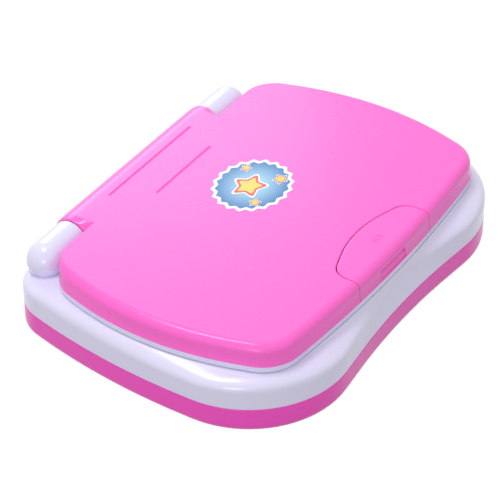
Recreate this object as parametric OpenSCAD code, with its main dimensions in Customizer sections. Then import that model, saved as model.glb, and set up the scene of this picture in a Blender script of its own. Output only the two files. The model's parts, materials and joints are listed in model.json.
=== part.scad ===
// Toy laptop computer: clamshell case with a keyboard, a hinged lid and a press-to-open latch.
// +Z is up, +X is the user's right, -Y is the front edge with the latch, the hinge lies along X at the back.
// The origin is on the table, under the middle of the case. All lengths are in millimetres.

/* [Case] */
// Width of the case at its widest
case_w = 260; // [244:1:280]
// Depth of the case from the front lobes to the back wall
case_d = 187; // [185:1:200]
// Thickness of the moulded walls
wall = 2.2; // [1.8:0.1:2.4]
// Height that the rubber feet lift the case
foot_h = 1; // [0.6:0.1:2]
// Radius of a rubber foot
foot_r = 6; // [4:0.5:8]
// Height of the lower case
lower_h = 15.5; // [15:0.5:22]
// Height of the upper case, from the seam to the deck rim
upper_h = 17.7; // [17.5:0.1:22]
// Radius of the rounded bottom edge
bottom_round = 5; // [3:0.5:5.5]
// Radius of the two bulging front lobes
lobe_r = 58; // [52:1:62]
// Radius of the rear corners
rear_r = 26; // [18:1:28]
// How far each side draws in towards the back
rear_taper = 18; // [12:1:19]
// Length over which the sides draw in
rear_run = 71; // [68:1:73]
// Half the length of the hollow between the front lobes
front_sweep = 48; // [36:1:50]

/* [Lid] */
// How far the lid stays inside the case at the sides
lid_side_step = 7; // [6:0.5:10]
// How far the lid stays behind the front of the lobes, at the middle
lid_front_step = 9.7; // [9.6:0.1:12]
// Gap between the closed lid and the deck rim
lid_gap = 0.3; // [0.2:0.1:0.6]
// Height of the white frame's edge
frame_h = 3.5; // [3:0.1:5]
// Height of the lid shell
lid_h = 12.5; // [12.3:0.1:15]
// Radius of the lid's top edge
lid_round = 5; // [3:0.5:6]
// How much the lid's side leans in from its bottom edge to the rounding
lid_draft = 1; // [0.4:0.1:1.5]
// Radius of the lid's corners
lid_corner_r = 24; // [20:1:26]
// Radius of the bowed sides of the lid
lid_side_r = 175; // [160:5:180]

/* [Hinge] */
// Radius of the lid's hinge barrel
barrel_r = 12; // [11.5:0.1:12.2]
// Distance from the side of the case to the barrel's straight part
barrel_inset = 67.5; // [64:0.5:72]
// How far the hinge sits to the right of the middle
hinge_x = -3.8; // [-5:0.2:5]
// Length of the barrel's tapered end
barrel_end = 4.8; // [4:0.2:8]
// How much less the radius of the two knuckles on the case is than the barrel's
knuckle_in = 1; // [1:0.1:2.5]
// Length of a knuckle's straight part
knuckle_l = 23; // [18:0.5:24]
// Radius of the steel hinge pin
pin_r = 2.5; // [1.5:0.1:3]
// Outer radius of the hollow hinge bush that the wires pass
bush_r = 4.6; // [4:0.1:5]
// Wall of the hinge bush
bush_wall = 1.6; // [1:0.1:2]
// Gap between the barrel and the trough it turns in
trough_gap = 0.4; // [0.3:0.1:0.5]
// Running clearance of a pin in its bore
run_gap = 0.05; // [0.03:0.01:0.08]

/* [Latch] */
// Half the width of the latch
latch_half = 38.1; // [32:0.1:42]
// How far the latch sits to the right of the middle
latch_x = 2.7; // [0:0.1:4]
// Depth of the latch plate on the lid's top
latch_depth = 26.2; // [24:0.2:29]
// Parting gap round the latch
latch_gap = 0.5; // [0.4:0.05:0.6]
// Radius of the latch pin
latch_pin_r = 1.2; // [1:0.1:1.4]
// Half the width of the finger recess
recess_half = 13.6; // [10:0.2:18]
// Half the width of the hook
hook_half = 6; // [4:0.5:10]

/* [Keyboard] */
// Distance from key to key along a row
key_pitch_x = 19; // [18:0.25:20]
// Distance from row to row
key_pitch_y = 16.5; // [15.5:0.25:17]
// Width of a letter key
key_w = 15.4; // [12:0.2:15.6]
// Depth of a letter key
key_d = 13.4; // [11:0.2:13.4]
// Corner radius of a key
key_r = 3; // [1:0.5:4]
// Width of the space bar
space_w = 82; // [60:1:100]
// Radius of the round activity buttons
button_r = 6.6; // [5:0.2:7]
// Distance between the activity buttons
button_pitch = 26; // [20:1:28]
// Height of the keys above the tray
key_rise = 3.5; // [2:0.1:4]
// How far a key goes down
key_travel = 1.2; // [0.8:0.1:1.6]
// Gap round a key in its opening
key_gap = 0.35; // [0.25:0.05:0.6]
// Depth of the tray that holds the keyboard
tray_depth = 5.2; // [4.6:0.1:5.6]
// Distance from the lid's outline to the edge of the tray
tray_margin = 11; // [10:0.5:13]
// Distance from the lid's back edge to the row of round buttons
button_back = 24.2; // [20.2:0.5:26.2]

/* [Batteries] */
// Diameter of a battery cell
cell_d = 14.5; // [10.5:0.5:14.5]
// Length of a battery cell
cell_l = 50.5; // [44:0.5:50.5]
// Number of cells
cell_count = 3; // [2:1:3]
// Radius of the wire in the battery springs
spring_wire_r = 0.45; // [0.3:0.05:0.6]

/* [Fasteners] */
// Radius of a case screw's shank
screw_r = 1.3; // [1:0.1:1.5]
// Radius of a screw head
head_r = 2.8; // [2.4:0.1:3]
// Height of a screw head
head_h = 2; // [1.5:0.1:2.4]

/* [Screen] */
// Width of the screen opening
view_w = 96; // [70:1:110]
// Depth of the screen opening
view_d = 64; // [40:1:74]
// Thickness of the clear window
window_t = 1.2; // [0.8:0.1:1.5]
// Thickness of the display panel
display_t = 2.4; // [1.8:0.1:2.8]
// Thickness of the circuit boards
board_t = 1.6; // [1:0.1:1.6]

/* [Speaker and switch] */
// Radius of the speaker
speaker_r = 14; // [10:0.5:15]
// Radius of one hole of the speaker grille
grille_r = 1.2; // [0.8:0.1:1.4]
// How far the power switch slides
switch_travel = 5; // [3:0.5:6]

/* [Badge] */
// Half the width of the badge
badge_rx = 27; // [16:0.5:28]
// Half the depth of the badge
badge_ry = 22.5; // [14:0.5:26]
// Thickness of the badge
badge_t = 0.3; // [0.2:0.1:0.5]

/* [Hidden] */
ROWS = ["QWERTYUIOP", "ASDFGHJKL", "ZXCVBNM"];
BUTTONS = ["red", "yellow", "green", "blue"];
LETTER_KEYS = [for (row = ROWS, letter = row) str("key_", letter)];
BUTTON_KEYS = [for (name = BUTTONS) str("button_", name)];
BASE_NODES = ["lower_case", "upper_case", "rubber_feet", "case_screws", "battery_door", "battery_door_screw",
    "battery_cells", "battery_contacts", "main_board", "board_screws", "key_mat", "speaker", "power_switch",
    "switch_housing", "hinge_bush", "hinge_pin", "base_wires"];
LID_NODES = ["lid_shell", "lid_frame", "screen_window", "display_panel", "lid_board", "lid_board_screws",
    "lid_screws", "badge", "lid_wires", "latch", "latch_pin", "latch_spring"];

$fn = 48;
eps = 0.01;                             // overshoot of a cut past a face
arc_steps = 8;                          // chords in each arc of an outline
seam_groove = 0.4;                      // depth of the groove where two shells meet

// Heights, from the table up
seam_z = foot_h + lower_h;
deck_z = seam_z + upper_h;
frame_z = deck_z + lid_gap;
shell_z = frame_z + frame_h;
top_z = shell_z + lid_h;
tray_z = deck_z - tray_depth;
under_z = tray_z - wall;                // underside of the deck
floor_z = foot_h + wall;                // inside of the lower case

// Outlines: half = [x, y, radius] of each corner from the front middle round to the back
function slope_half(angle, sweep) =
    let (rise = -case_d / 2 + lobe_r - lobe_r / cos(angle),
         run = case_w / 2 - lobe_r)
    [[0, rise + tan(angle) * run, sweep / tan(angle)],
     [case_w / 2, rise - tan(angle) * lobe_r, lobe_r],
     [case_w / 2, case_d / 2 - rear_run, case_side_r],
     [case_w / 2 - rear_taper, case_d / 2, rear_r]];
case_side_r = 400;                      // bow of the case's sides
seam_angle = 5.7;                       // slope from the front hollow to the lobes, at the seam
ridge_angle = 10;                       // the same at the ridge, where the hollow is deeper
ridge_sweep = front_sweep * 2 / 3;
CASE = slope_half(seam_angle, front_sweep);
RIDGE = slope_half(ridge_angle, ridge_sweep);

barrel_half = case_w / 2 - barrel_inset;
knuckle_r = barrel_r - knuckle_in;
hinge_y = case_d / 2 - barrel_r - 0.5;
hinge_z = top_z - barrel_r;
lid_back = hinge_y - barrel_r + 0.7;
lid_front = -case_d / 2 + lid_front_step;
lid_w = case_w - 2 * lid_side_step;
lid_side_angle = asin((lid_back - lid_front) / 3 / lid_side_r);    // the bow takes two thirds of the side
lid_front_angle = 5.9;                  // half the angle that the front of the lid bows through
lid_front_r = 3.5 * lid_w;              // the front's bow ends just before the corners
lid_mid_y = (lid_front + lid_back) / 2 + 4.2;
lid_bow_x = lid_w / 2 + lid_side_r * (1 / cos(lid_side_angle) - 1);
lid_nose_y = lid_front - lid_front_r * (1 / cos(lid_front_angle) - 1);
lid_corner_x = (lid_bow_x - tan(lid_side_angle) * (lid_mid_y - lid_nose_y))
    / (1 - tan(lid_side_angle) * tan(lid_front_angle));
LID = [[0, lid_nose_y, lid_front_r],
    [lid_corner_x, lid_nose_y + tan(lid_front_angle) * lid_corner_x, lid_corner_r],
    [lid_bow_x, lid_mid_y, lid_side_r],
    [lid_bow_x - tan(lid_side_angle) * (lid_back - lid_mid_y), lid_back, lid_corner_r]];

function unit(v) = v / norm(v);
function turn_of(a, b) = atan2(a[0] * b[1] - a[1] * b[0], a * b);
function flat(p) = [p[0], p[1]];
function corner_arc(before, p, after, r, inset) =
    let (way_in = unit(p - before), way_out = unit(after - p),
         turn = turn_of(way_in, way_out), side = sign(turn),
         outward = [way_in[1], -way_in[0]],
         centre = p - way_in * r * tan(abs(turn) / 2) - side * outward * r,
         from = atan2(outward[1], outward[0]))
    [for (k = [0:arc_steps]) let (a = from + turn * k / arc_steps)
        centre + [cos(a), sin(a)] * (side * r - inset)];
function closed(corners, inset = 0) =
    let (n = len(corners))
    [for (i = [0:n - 1]) each corner_arc(flat(corners[(i + n - 1) % n]), flat(corners[i]),
        flat(corners[(i + 1) % n]), corners[i][2], inset)];
function whole(half) = concat(half, [for (i = [len(half) - 1:-1:1]) [-half[i][0], half[i][1], half[i][2]]]);
function outline(half, inset = 0) = closed(whole(half), inset);
function mixed(a, b, share) = [for (i = [0:len(a) - 1]) a[i] * (1 - share) + b[i] * share];
// The lid's outline drawn in by inset, and all round by thick; its back edge stays nearly sharp
function lid_ring(inset, thick = 0) = let (back = 0.85 * inset, c = LID[3])
    outline([LID[0], LID[1], LID[2], [c[0] - back * tan(lid_side_angle), c[1] + back, c[2]]], inset + thick);

// Solid through a stack of [outline, height] rings, lowest first
module loft(rings) {
    n = len(rings[0][0]);
    last = len(rings) - 1;
    points = [for (ring = rings, p = ring[0]) [p[0], p[1], ring[1]]];
    sides = [for (i = [0:last - 1], k = [0:n - 1])
        let (a = i * n + k, b = i * n + (k + 1) % n) each [[a, a + n, b], [b, a + n, b + n]]];
    caps = [[for (k = [0:n - 1]) k], [for (k = [n - 1:-1:0]) last * n + k]];
    polyhedron(points, concat(sides, caps), convexity = 8);
}

// Tube along a list of points, its rings square to the path
function cross_or(v, other) = norm(v) < 0.001 ? other : unit(v);
module tube(path, r, sides = 8) {
    last = len(path) - 1;
    rings = [for (i = [0:last])
        let (along = unit(path[min(i + 1, last)] - path[max(i - 1, 0)]),
             u = cross_or(cross(along, [0, 0.3, 1]), [1, 0, 0]), v = cross(along, u))
        [for (k = [0:sides - 1]) path[i] + r * (cos(360 * k / sides) * u + sin(360 * k / sides) * v)]];
    faces = [for (i = [0:last - 1], k = [0:sides - 1])
        let (a = i * sides + k, b = i * sides + (k + 1) % sides)
        each [[a, a + sides, b], [b, a + sides, b + sides]]];
    caps = [[for (k = [0:sides - 1]) k], [for (k = [sides - 1:-1:0]) last * sides + k]];
    polyhedron([for (ring = rings, p = ring) p], concat(faces, caps), convexity = 8);
}
function helix(r, from, to, turns, steps = 12) =
    [for (k = [0:turns * steps]) [r * cos(360 * k / steps), r * sin(360 * k / steps),
        from + (to - from) * k / (turns * steps)]];

module along_x(from, to, y, z, r, fn = 48) {
    translate([from, y, z]) rotate([0, 90, 0]) cylinder(r = r, h = to - from, $fn = fn);
}
module hinge_rod(from, to, r) along_x(hinge_x + from, hinge_x + to, hinge_y, hinge_z, r);
module box(x, y, z) {                   // each as [low, high]
    translate([x[0], y[0], z[0]]) cube([x[1] - x[0], y[1] - y[0], z[1] - z[0]]);
}
module round_bar(w, d, r, h) {          // rounded rectangle, centred, standing on z = 0
    x = w / 2 - r;
    y = d / 2 - r;
    linear_extrude(h) union() {
        square([w, d - 2 * r], center = true);
        square([w - 2 * r, d], center = true);
        for (sx = [-1, 1], sy = [-1, 1]) translate([sx * x, sy * y]) circle(r, $fn = 24);
    }
}

// ---------------------------------------------------------------- case
boss_in = 17;                           // from the side of the case to the screw bosses
boss_y = 45;
front_boss = [52, -case_d / 2 + 21];
BOSSES = [for (side = [-1, 1]) each [[side * (case_w / 2 - boss_in), -boss_y],
    [side * (case_w / 2 - boss_in - 3), boss_y], [side * front_boss[0], front_boss[1]]]];
boss_r = head_r + 1.8;
boss_hole_r = screw_r + 0.2;
pilot_r = screw_r + run_gap;
boss_head_z = foot_h + 5;               // bearing face under the screw heads
screw_top = under_z - 2.4;
front_foot = [case_w / 2 - 32, -case_d / 2 + 30];
back_foot = [case_w / 2 - 36, case_d / 2 - 22];
FEET = [for (side = [-1, 1], foot = [front_foot, back_foot]) [side * foot[0], foot[1]]];
foot_t = foot_h + 0.8;

// Battery bay
bay_y = 8;
bay_wall = 3;
bay_l = cell_l + 7.5;
cell_gap = 0.4;
bay_w = cell_count * cell_d + (cell_count + 1) * cell_gap;
cell_z = floor_z + 0.3 + cell_d / 2;
bay_top = cell_z + cell_d / 2 + 0.4;
bay_roof = 1.6;
door_ledge = 1.4;
door_t = wall - 0.05;
door_gap = 0.3;
door_x = -bay_l / 2 - door_ledge;       // hinged edge of the door
door_w = bay_w + 2 * door_ledge;
tongue_l = 10;
tongue_w = 12;
tongue_top = floor_z + 9.8;             // block over the tongue, for its screw
tongue_x = bay_l / 2 + door_ledge;
door_screw_x = tongue_x + 4.6;
door_screw_gap = 0.7;                   // lets the screw swing out with the door
door_head_t = 1.2;                      // recess for the door screw's head

module door_plate(edge, gap, h) {       // edge = its hinged side
    z = [foot_h, foot_h + h];
    box([edge - gap, tongue_x + gap], [bay_y - door_w / 2 - gap, bay_y + door_w / 2 + gap], z);
    box([tongue_x - 1, tongue_x + tongue_l + gap],
        [bay_y - tongue_w / 2 - gap, bay_y + tongue_w / 2 + gap], z);
}

module lower_case() color([0.85, 0.35, 0.71]) difference() {
    union() {
        difference() {
            loft(concat(
                [for (a = [0, 35, 65])
                    [outline(CASE, bottom_round * (1 - sin(a))), foot_h + bottom_round * (1 - cos(a))]],
                [[outline(CASE), foot_h + bottom_round], [outline(CASE), seam_z - seam_groove],
                 [outline(CASE, seam_groove), seam_z]]));
            loft([[outline(CASE, bottom_round + wall / 2), floor_z],
                [outline(CASE, wall), foot_h + bottom_round], [outline(CASE, wall), seam_z + 1]]);
        }
        for (b = BOSSES) translate([b[0], b[1], floor_z - eps]) cylinder(r = boss_r, h = seam_z - floor_z);
        box([-bay_l / 2 - bay_wall, bay_l / 2 + bay_wall],
            [bay_y - bay_w / 2 - bay_wall, bay_y + bay_w / 2 + bay_wall],
            [floor_z - eps, bay_top + bay_roof]);
        box([bay_l / 2, tongue_x + tongue_l + 2], [bay_y - tongue_w / 2 - 2, bay_y + tongue_w / 2 + 2],
            [floor_z - eps, tongue_top]);
    }
    door_plate(door_x, door_gap, wall);
    box([-bay_l / 2, bay_l / 2], [bay_y - bay_w / 2, bay_y + bay_w / 2], [foot_h, bay_top]);
    translate([door_screw_x, bay_y, 0]) cylinder(r = screw_r + door_screw_gap, h = tongue_top - 2);
    for (b = BOSSES) translate([b[0], b[1], 0]) {
        cylinder(r = boss_hole_r, h = seam_z + 1);
        cylinder(r = head_r + 0.3, h = boss_head_z);
    }
    for (f = FEET) translate([f[0], f[1], 0]) cylinder(r = foot_r + run_gap, h = foot_t);
}

module rubber_feet() color([0.25, 0.25, 0.27])
    for (f = FEET) translate([f[0], f[1], 0]) cylinder(r = foot_r, h = foot_t);

module screw(x, y, head_z, tip_z, head = 1) {   // head = 1 points the head down, -1 up
    translate([x, y, min(head_z, tip_z)]) cylinder(r = screw_r, h = abs(tip_z - head_z), $fn = 24);
    translate([x, y, head_z - (head > 0 ? head_h : 0)]) difference() {
        cylinder(r = head_r, h = head_h, $fn = 32);
        translate([0, 0, head > 0 ? -eps : head_h - 1]) for (a = [0, 90]) rotate(a)
            translate([-head_r * 0.6, -0.35, 0]) cube([head_r * 1.2, 0.7, 1 + eps]);
    }
}

module case_screws() color([0.7, 0.7, 0.72])
    for (b = BOSSES) screw(b[0], b[1], boss_head_z, screw_top);

module battery_door() color([0.83, 0.33, 0.69]) difference() {
    union() {
        door_plate(door_x + door_t / 2, 0, door_t);
        translate([door_x + door_t / 2, bay_y, foot_h + door_t / 2]) rotate([90, 0, 0])
            cylinder(r = door_t / 2, h = door_w, center = true);        // the edge that it swings on
    }
    translate([door_screw_x, bay_y, foot_h - 1]) cylinder(r = boss_hole_r, h = wall + 2);
    translate([door_screw_x, bay_y, foot_h - 1]) cylinder(r = head_r + 0.2, h = 1 + door_head_t);
    for (i = [0:3]) box([-14 + 3 * i, -12.5 + 3 * i], [bay_y - 9, bay_y + 9], [foot_h - 1, foot_h + 0.6]);
}
module flat_screw(head, length) difference() {          // head down, standing on z = 0
    union() {
        cylinder(r = head_r, h = head, $fn = 32);
        cylinder(r = screw_r, h = length, $fn = 24);
    }
    for (a = [0, 90]) rotate(a) translate([-head_r * 0.6, -0.35, -1]) cube([head_r * 1.2, 0.7, 1.6]);
}
module battery_door_screw() color([0.7, 0.7, 0.72]) translate([door_screw_x, bay_y, foot_h])
    flat_screw(door_head_t, 9);

CELL_Y = [for (i = [0:cell_count - 1]) bay_y + (i - (cell_count - 1) / 2) * (cell_d + cell_gap)];
plate_t = 0.5;                          // contact plates at both ends of the bay
cell_x = [for (i = [0:cell_count - 1]) (i % 2 == 0 ? 1 : -1) * (bay_l / 2 - plate_t - 0.1 - cell_l / 2)];
module battery_cells() color([0.2, 0.55, 0.35])
    for (i = [0:cell_count - 1]) {
        flip = i % 2 == 0 ? 1 : -1;
        translate([cell_x[i], CELL_Y[i], cell_z]) rotate([0, 90 * flip, 0]) {
            translate([0, 0, -cell_l / 2]) cylinder(r = cell_d / 2, h = cell_l - 1.4);
            translate([0, 0, cell_l / 2 - 1.4]) cylinder(r = 2.6, h = 1.4);
        }
    }

module battery_contacts() color([0.75, 0.73, 0.68])
    for (i = [0:cell_count - 1]) {
        flip = i % 2 == 0 ? 1 : -1;
        translate([0, CELL_Y[i], cell_z]) {
            for (side = [-1, 1]) translate([side * (bay_l / 2 - 0.05 - plate_t / 2), 0, 0])
                cube([plate_t, cell_d - 3.5, cell_d - 3.5], center = true);
            rotate([0, -90 * flip, 0]) tube(helix(3.6, cell_l / 2 - flip * cell_x[i] + 0.1 + spring_wire_r,
                bay_l / 2 - plate_t - 0.05 - spring_wire_r, 3), spring_wire_r, 6);
        }
    }

// Speaker and switch places on the deck
speaker_in = 66;                        // from the side of the case
speaker_back = 40;                      // from its front
speaker_x = -case_w / 2 + speaker_in;
speaker_y = -case_d / 2 + speaker_back;
speaker_rim = 3;
magnet_r = 8;
grille_step = 4.4;                      // from ring to ring of its holes
GRILLE = concat([[0, 0]], [for (ring = [1, 2], k = [0:6 * ring - 1]) let (a = 60 * k / ring)
    grille_step * ring * [cos(a), sin(a)]]);
buttons_y = lid_back - button_back;
keyboard_y = buttons_y - 2 - 2 * key_pitch_y;
switch_x = 84;
switch_w = 5;
switch_d = 3.6;
knob_top = tray_z + 1.8;
flange_t = 1;
flange_z = under_z - 0.2 - flange_t;

// Board and keyboard stack, from the keys down
dome_top = flange_z - key_travel - 0.05;
dome_h = 1.3;
dome_r = 4;
mat_t = 0.8;
board_top = dome_top - dome_h - mat_t;
board_z = board_top - board_t;
mat_half = (len(ROWS[0]) - 1) / 2 * key_pitch_x + dome_r + 1.3;        // past the widest row
post_in = 4;                            // from the board's edges to its screws
post_r = 2.8;
board_half = mat_half + 1.4 + post_r + post_in;
board_y = [keyboard_y - 2.5 * key_pitch_y, buttons_y + 10];
POSTS = [for (side = [-1, 1], y = [board_y[0] + post_in, board_y[1] - post_in])
    [side * (board_half - post_in), y]];
space_y = keyboard_y - 2 * key_pitch_y;

LETTERS = [for (r = [0:2], i = [0:len(ROWS[r]) - 1])
    let (column = i - (len(ROWS[r]) - 1) / 2 - (r == 2 ? 0.25 : 0))
    [ROWS[r][i], column * key_pitch_x, keyboard_y + (1 - r) * key_pitch_y]];
BUTTON_X = [for (i = [0:len(BUTTONS) - 1]) (i - (len(BUTTONS) - 1) / 2) * button_pitch];

module key_openings() {
    for (k = LETTERS) translate([k[1], k[2], under_z - 1])
        round_bar(key_w + 2 * key_gap, key_d + 2 * key_gap, key_r + key_gap, wall + 2);
    translate([0, space_y, under_z - 1])
        round_bar(space_w + 2 * key_gap, key_d + 2 * key_gap, key_r + key_gap, wall + 2);
    for (x = BUTTON_X) translate([x, buttons_y, under_z - 1]) cylinder(r = button_r + key_gap, h = wall + 2);
}

// Rings of the shoulder: [how far from the ridge to the lid's outline, share of the height above the feet]
shoulder = [for (step = [[0, 0.828], [0.12, 0.904], [0.4, 0.958]])
    [step[0], foot_h + (deck_z - foot_h) * step[1]]];
trough_r = barrel_r + trough_gap;
barrel_tip = barrel_half + barrel_end;
knuckle_x = barrel_tip + 0.4;
knuckle_end = knuckle_x + knuckle_l;
slot_y = [lid_front + 1.6, lid_front + 5.9];

module upper_case() color([0.88, 0.87, 0.95]) difference() {
    union() {
        difference() {
            loft(concat([[outline(CASE, seam_groove), seam_z], [outline(CASE), seam_z + seam_groove]],
                [for (s = shoulder) [mixed(outline(RIDGE), outline(LID), s[0]), s[1]]],
                [[outline(LID), deck_z]]));
            translate([0, 0, seam_z - 1]) linear_extrude(under_z - seam_z + 1) polygon(outline(RIDGE, wall));
            translate([0, 0, tray_z]) linear_extrude(tray_depth + 1) polygon(outline(LID, tray_margin));
        }
        difference() {                  // wall under the trough
            hinge_rod(-knuckle_x, knuckle_x, trough_r + wall);
            box([-case_w, case_w], [-case_d, case_d], [deck_z - 3, top_z + 20]);
            box([-case_w, case_w], [case_d / 2 - 1.5, case_d], [0, top_z]);
        }
        for (side = [-1, 1]) {
            hinge_rod(side > 0 ? knuckle_x : -knuckle_end, side > 0 ? knuckle_end : -knuckle_x, knuckle_r);
            translate([hinge_x + side * knuckle_end, hinge_y, hinge_z]) sphere(knuckle_r);
        }
        for (b = BOSSES) translate([b[0], b[1], seam_z])
            cylinder(r = boss_r - 0.6, h = under_z - seam_z + eps);
        for (p = POSTS) translate([p[0], p[1], board_top])
            cylinder(r = post_r, h = under_z - board_top + eps);
        translate([speaker_x, speaker_y, under_z - speaker_rim])
            cylinder(r = speaker_r + 1.8, h = speaker_rim + eps);
    }
    hinge_rod(-knuckle_x, knuckle_x, trough_r);
    key_openings();
    for (b = BOSSES) translate([b[0], b[1], seam_z - 1]) cylinder(r = pilot_r, h = screw_top - seam_z + 1.5);
    for (p = POSTS) translate([p[0], p[1], board_top - 1]) cylinder(r = pilot_r, h = 4.4);
    translate([speaker_x, speaker_y, under_z - speaker_rim - 1])
        cylinder(r = speaker_r + 0.2, h = speaker_rim + 1);
    for (g = GRILLE) translate([speaker_x + g[0], speaker_y + g[1], under_z - 1])
        cylinder(r = grille_r, h = wall + 2, $fn = 24);
    translate([switch_x + switch_travel / 2, buttons_y, under_z - 1])
        round_bar(switch_w + switch_travel + 0.8, switch_d + 0.8, 1, wall + 2);
    box([-hook_half - 0.6, hook_half + 0.6], slot_y, [under_z - 1, deck_z + 1]);
    box([-hook_half - 0.6, hook_half + 0.6], [slot_y[0], slot_y[1] + 2], [under_z - 1, deck_z - wall]);
    hinge_rod(knuckle_x - 1, knuckle_x + 15, pin_r + run_gap);
    hinge_rod(-knuckle_end, 1 - knuckle_x, bush_r + run_gap);
    translate([wire_x, hinge_y, seam_z + 2]) cylinder(r = wire_r + 1.6, h = hinge_z - seam_z - 2);
}

pin_in = 16;                            // how far the pin and the bush reach into the barrel
module hinge_bush() color([0.9, 0.9, 0.92]) difference() {
    hinge_rod(-knuckle_x - 7, pin_in - barrel_tip, bush_r);
    hinge_rod(-knuckle_x - 8, pin_in - barrel_tip + 1, bush_r - bush_wall);
}
module hinge_pin() color([0.72, 0.72, 0.74])
    hinge_rod(barrel_tip - pin_in, knuckle_x + 14.5, pin_r);

// Wires: up through the left knuckle, along the hinge axis and into the lid
wire_r = 1.6;
wire_x = hinge_x - knuckle_x - 13;
wire_meet = hinge_x - barrel_tip + 9;
plug_x = -board_half + post_in + head_r + 2.8;          // beside the screw head
socket = [9, 6, 4];
module base_wires() color([0.3, 0.3, 0.34])
    tube([[plug_x, board_y[1] - 3, board_z - 2.2], [plug_x, board_y[1] + 2, board_z - 2.2],
        [plug_x, hinge_y - 12, board_z - 2], [wire_x, hinge_y - 5, board_z - 0.5],
        [wire_x, hinge_y - 1, board_z + 3.5], [wire_x, hinge_y, board_z + 8],
        [wire_x, hinge_y, hinge_z - 3.6], [wire_x + 1, hinge_y, hinge_z - 1.2],
        [wire_x + 3.4, hinge_y, hinge_z - 0.1], [wire_x + 6, hinge_y, hinge_z],
        [wire_meet, hinge_y, hinge_z]], wire_r);
module lid_wires() color([0.3, 0.3, 0.34])
    tube([[wire_meet, hinge_y, hinge_z], [wire_meet + 10, hinge_y, hinge_z],
        [wire_meet + 15, hinge_y - 1, hinge_z + 0.6], [wire_meet + 19, hinge_y - 5, hinge_z + 2.5],
        [wire_meet + 21, hinge_y - 11, hinge_z + 4.4], [lid_plug_x - 2, hinge_y - 22, hinge_z + 5],
        [lid_plug_x - 1, hinge_y - 36, hinge_z + 4.6], [lid_plug_x, lid_board_y[1] - 5, lid_board_top + 2]],
        wire_r);

module speaker_room() translate([speaker_x, speaker_y, board_z - 1]) cylinder(r = magnet_r + 1, h = 8);
main_chip = [18, 12, 1.6];
sound_chip = [12, 7, 1.4];
module main_board() color([0.16, 0.45, 0.25]) difference() {
    union() {
        box([-board_half, board_half], board_y, [board_z, board_top]);
        translate([plug_x - 2.2, board_y[1] - 9, board_z + eps - socket[2]]) cube(socket);
        translate([0.4 * board_half, board_y[0] + 8, board_z + eps - main_chip[2]]) cube(main_chip);
        translate([-0.7 * board_half, keyboard_y + 9.5, board_z + eps - sound_chip[2]]) cube(sound_chip);
    }
    for (p = POSTS) translate([p[0], p[1], board_z - 5]) cylinder(r = boss_hole_r, h = 10);
    speaker_room();
}
module board_screws() color([0.7, 0.7, 0.72]) for (p = POSTS) screw(p[0], p[1], board_z, board_top + 3);

module dome(x, y) translate([x, y, board_top]) cylinder(r = dome_r, h = mat_t + dome_h, $fn = 24);
module key_mat() color([0.8, 0.8, 0.78]) difference() {
    union() {
        box([-mat_half, mat_half], [board_y[0] + 1, board_y[1] - 1], [board_top, board_top + mat_t]);
        for (k = LETTERS) dome(k[1], k[2]);
        for (side = [-1, 1]) dome(side * space_w / 3, space_y);
        for (x = BUTTON_X) dome(x, buttons_y);
    }
    box([switch_x - 9, board_half], [buttons_y - 6, board_y[1]], [board_top - 1, board_top + 5]);
    speaker_room();
}

module speaker() color([0.2, 0.2, 0.22]) translate([speaker_x, speaker_y, under_z]) rotate_extrude()
    polygon([[0, -8.6], [magnet_r, -8.6], [magnet_r, -4.4], [speaker_r, -2], [speaker_r, 0],
        [speaker_r - 1.6, 0], [speaker_r - 2, -0.8], [3, -3], [0, -2.4]]);

module switch_housing() color([0.6, 0.6, 0.62]) difference() {
    box([switch_x - 5, switch_x + 5 + switch_travel], [buttons_y - 3, buttons_y + 3],
        [board_top, flange_z - 0.2]);
    box([switch_x - 2, switch_x + 2 + switch_travel], [buttons_y - 1.2, buttons_y + 1.2],
        [board_top + 0.6, flange_z + 1]);
}
module power_switch() color([0.95, 0.75, 0.2]) translate([switch_x, buttons_y, 0]) {
    translate([0, 0, flange_z]) round_bar(switch_w + 6, switch_d + 2.4, 1, flange_t);
    translate([0, 0, flange_z]) round_bar(switch_w, switch_d, 0.8, knob_top - flange_z);
    for (x = [-1.2, 0, 1.2]) translate([x - 0.25, -switch_d / 2 + 0.4, knob_top])
        cube([0.5, switch_d - 0.8, 0.3]);
    box([-1, 1], [-0.8, 0.8], [flange_z - 1.2, flange_z + eps]);
}

module key_body(w, d, r) {
    flange = min(2, 2 * key_gap + 1.3);
    translate([0, 0, flange_z]) round_bar(w + flange, d + flange, r, flange_t);
    translate([0, 0, flange_z]) round_bar(w, d, r, tray_z + key_rise - 0.8 - flange_z);
    translate([0, 0, flange_z]) round_bar(w - 1.2, d - 1.2, r - 0.6, tray_z + key_rise - flange_z);
}
module letter_key(k) color([0.97, 0.96, 0.99]) translate([k[1], k[2], 0]) key_body(key_w, key_d, key_r);
module key_space() color([0.95, 0.6, 0.85]) translate([0, space_y, 0]) key_body(space_w, key_d, key_r);
BUTTON_COLOURS = [[0.9, 0.2, 0.25], [0.98, 0.8, 0.2], [0.3, 0.75, 0.35], [0.25, 0.5, 0.9]];
module activity_button(i) color(BUTTON_COLOURS[i]) translate([BUTTON_X[i], buttons_y, flange_z]) {
    cylinder(r = button_r + 1, h = flange_t);
    cylinder(r = button_r, h = tray_z + key_rise - 0.8 - flange_z);
    cylinder(r = button_r - 0.6, h = tray_z + key_rise - flange_z);
}

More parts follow.
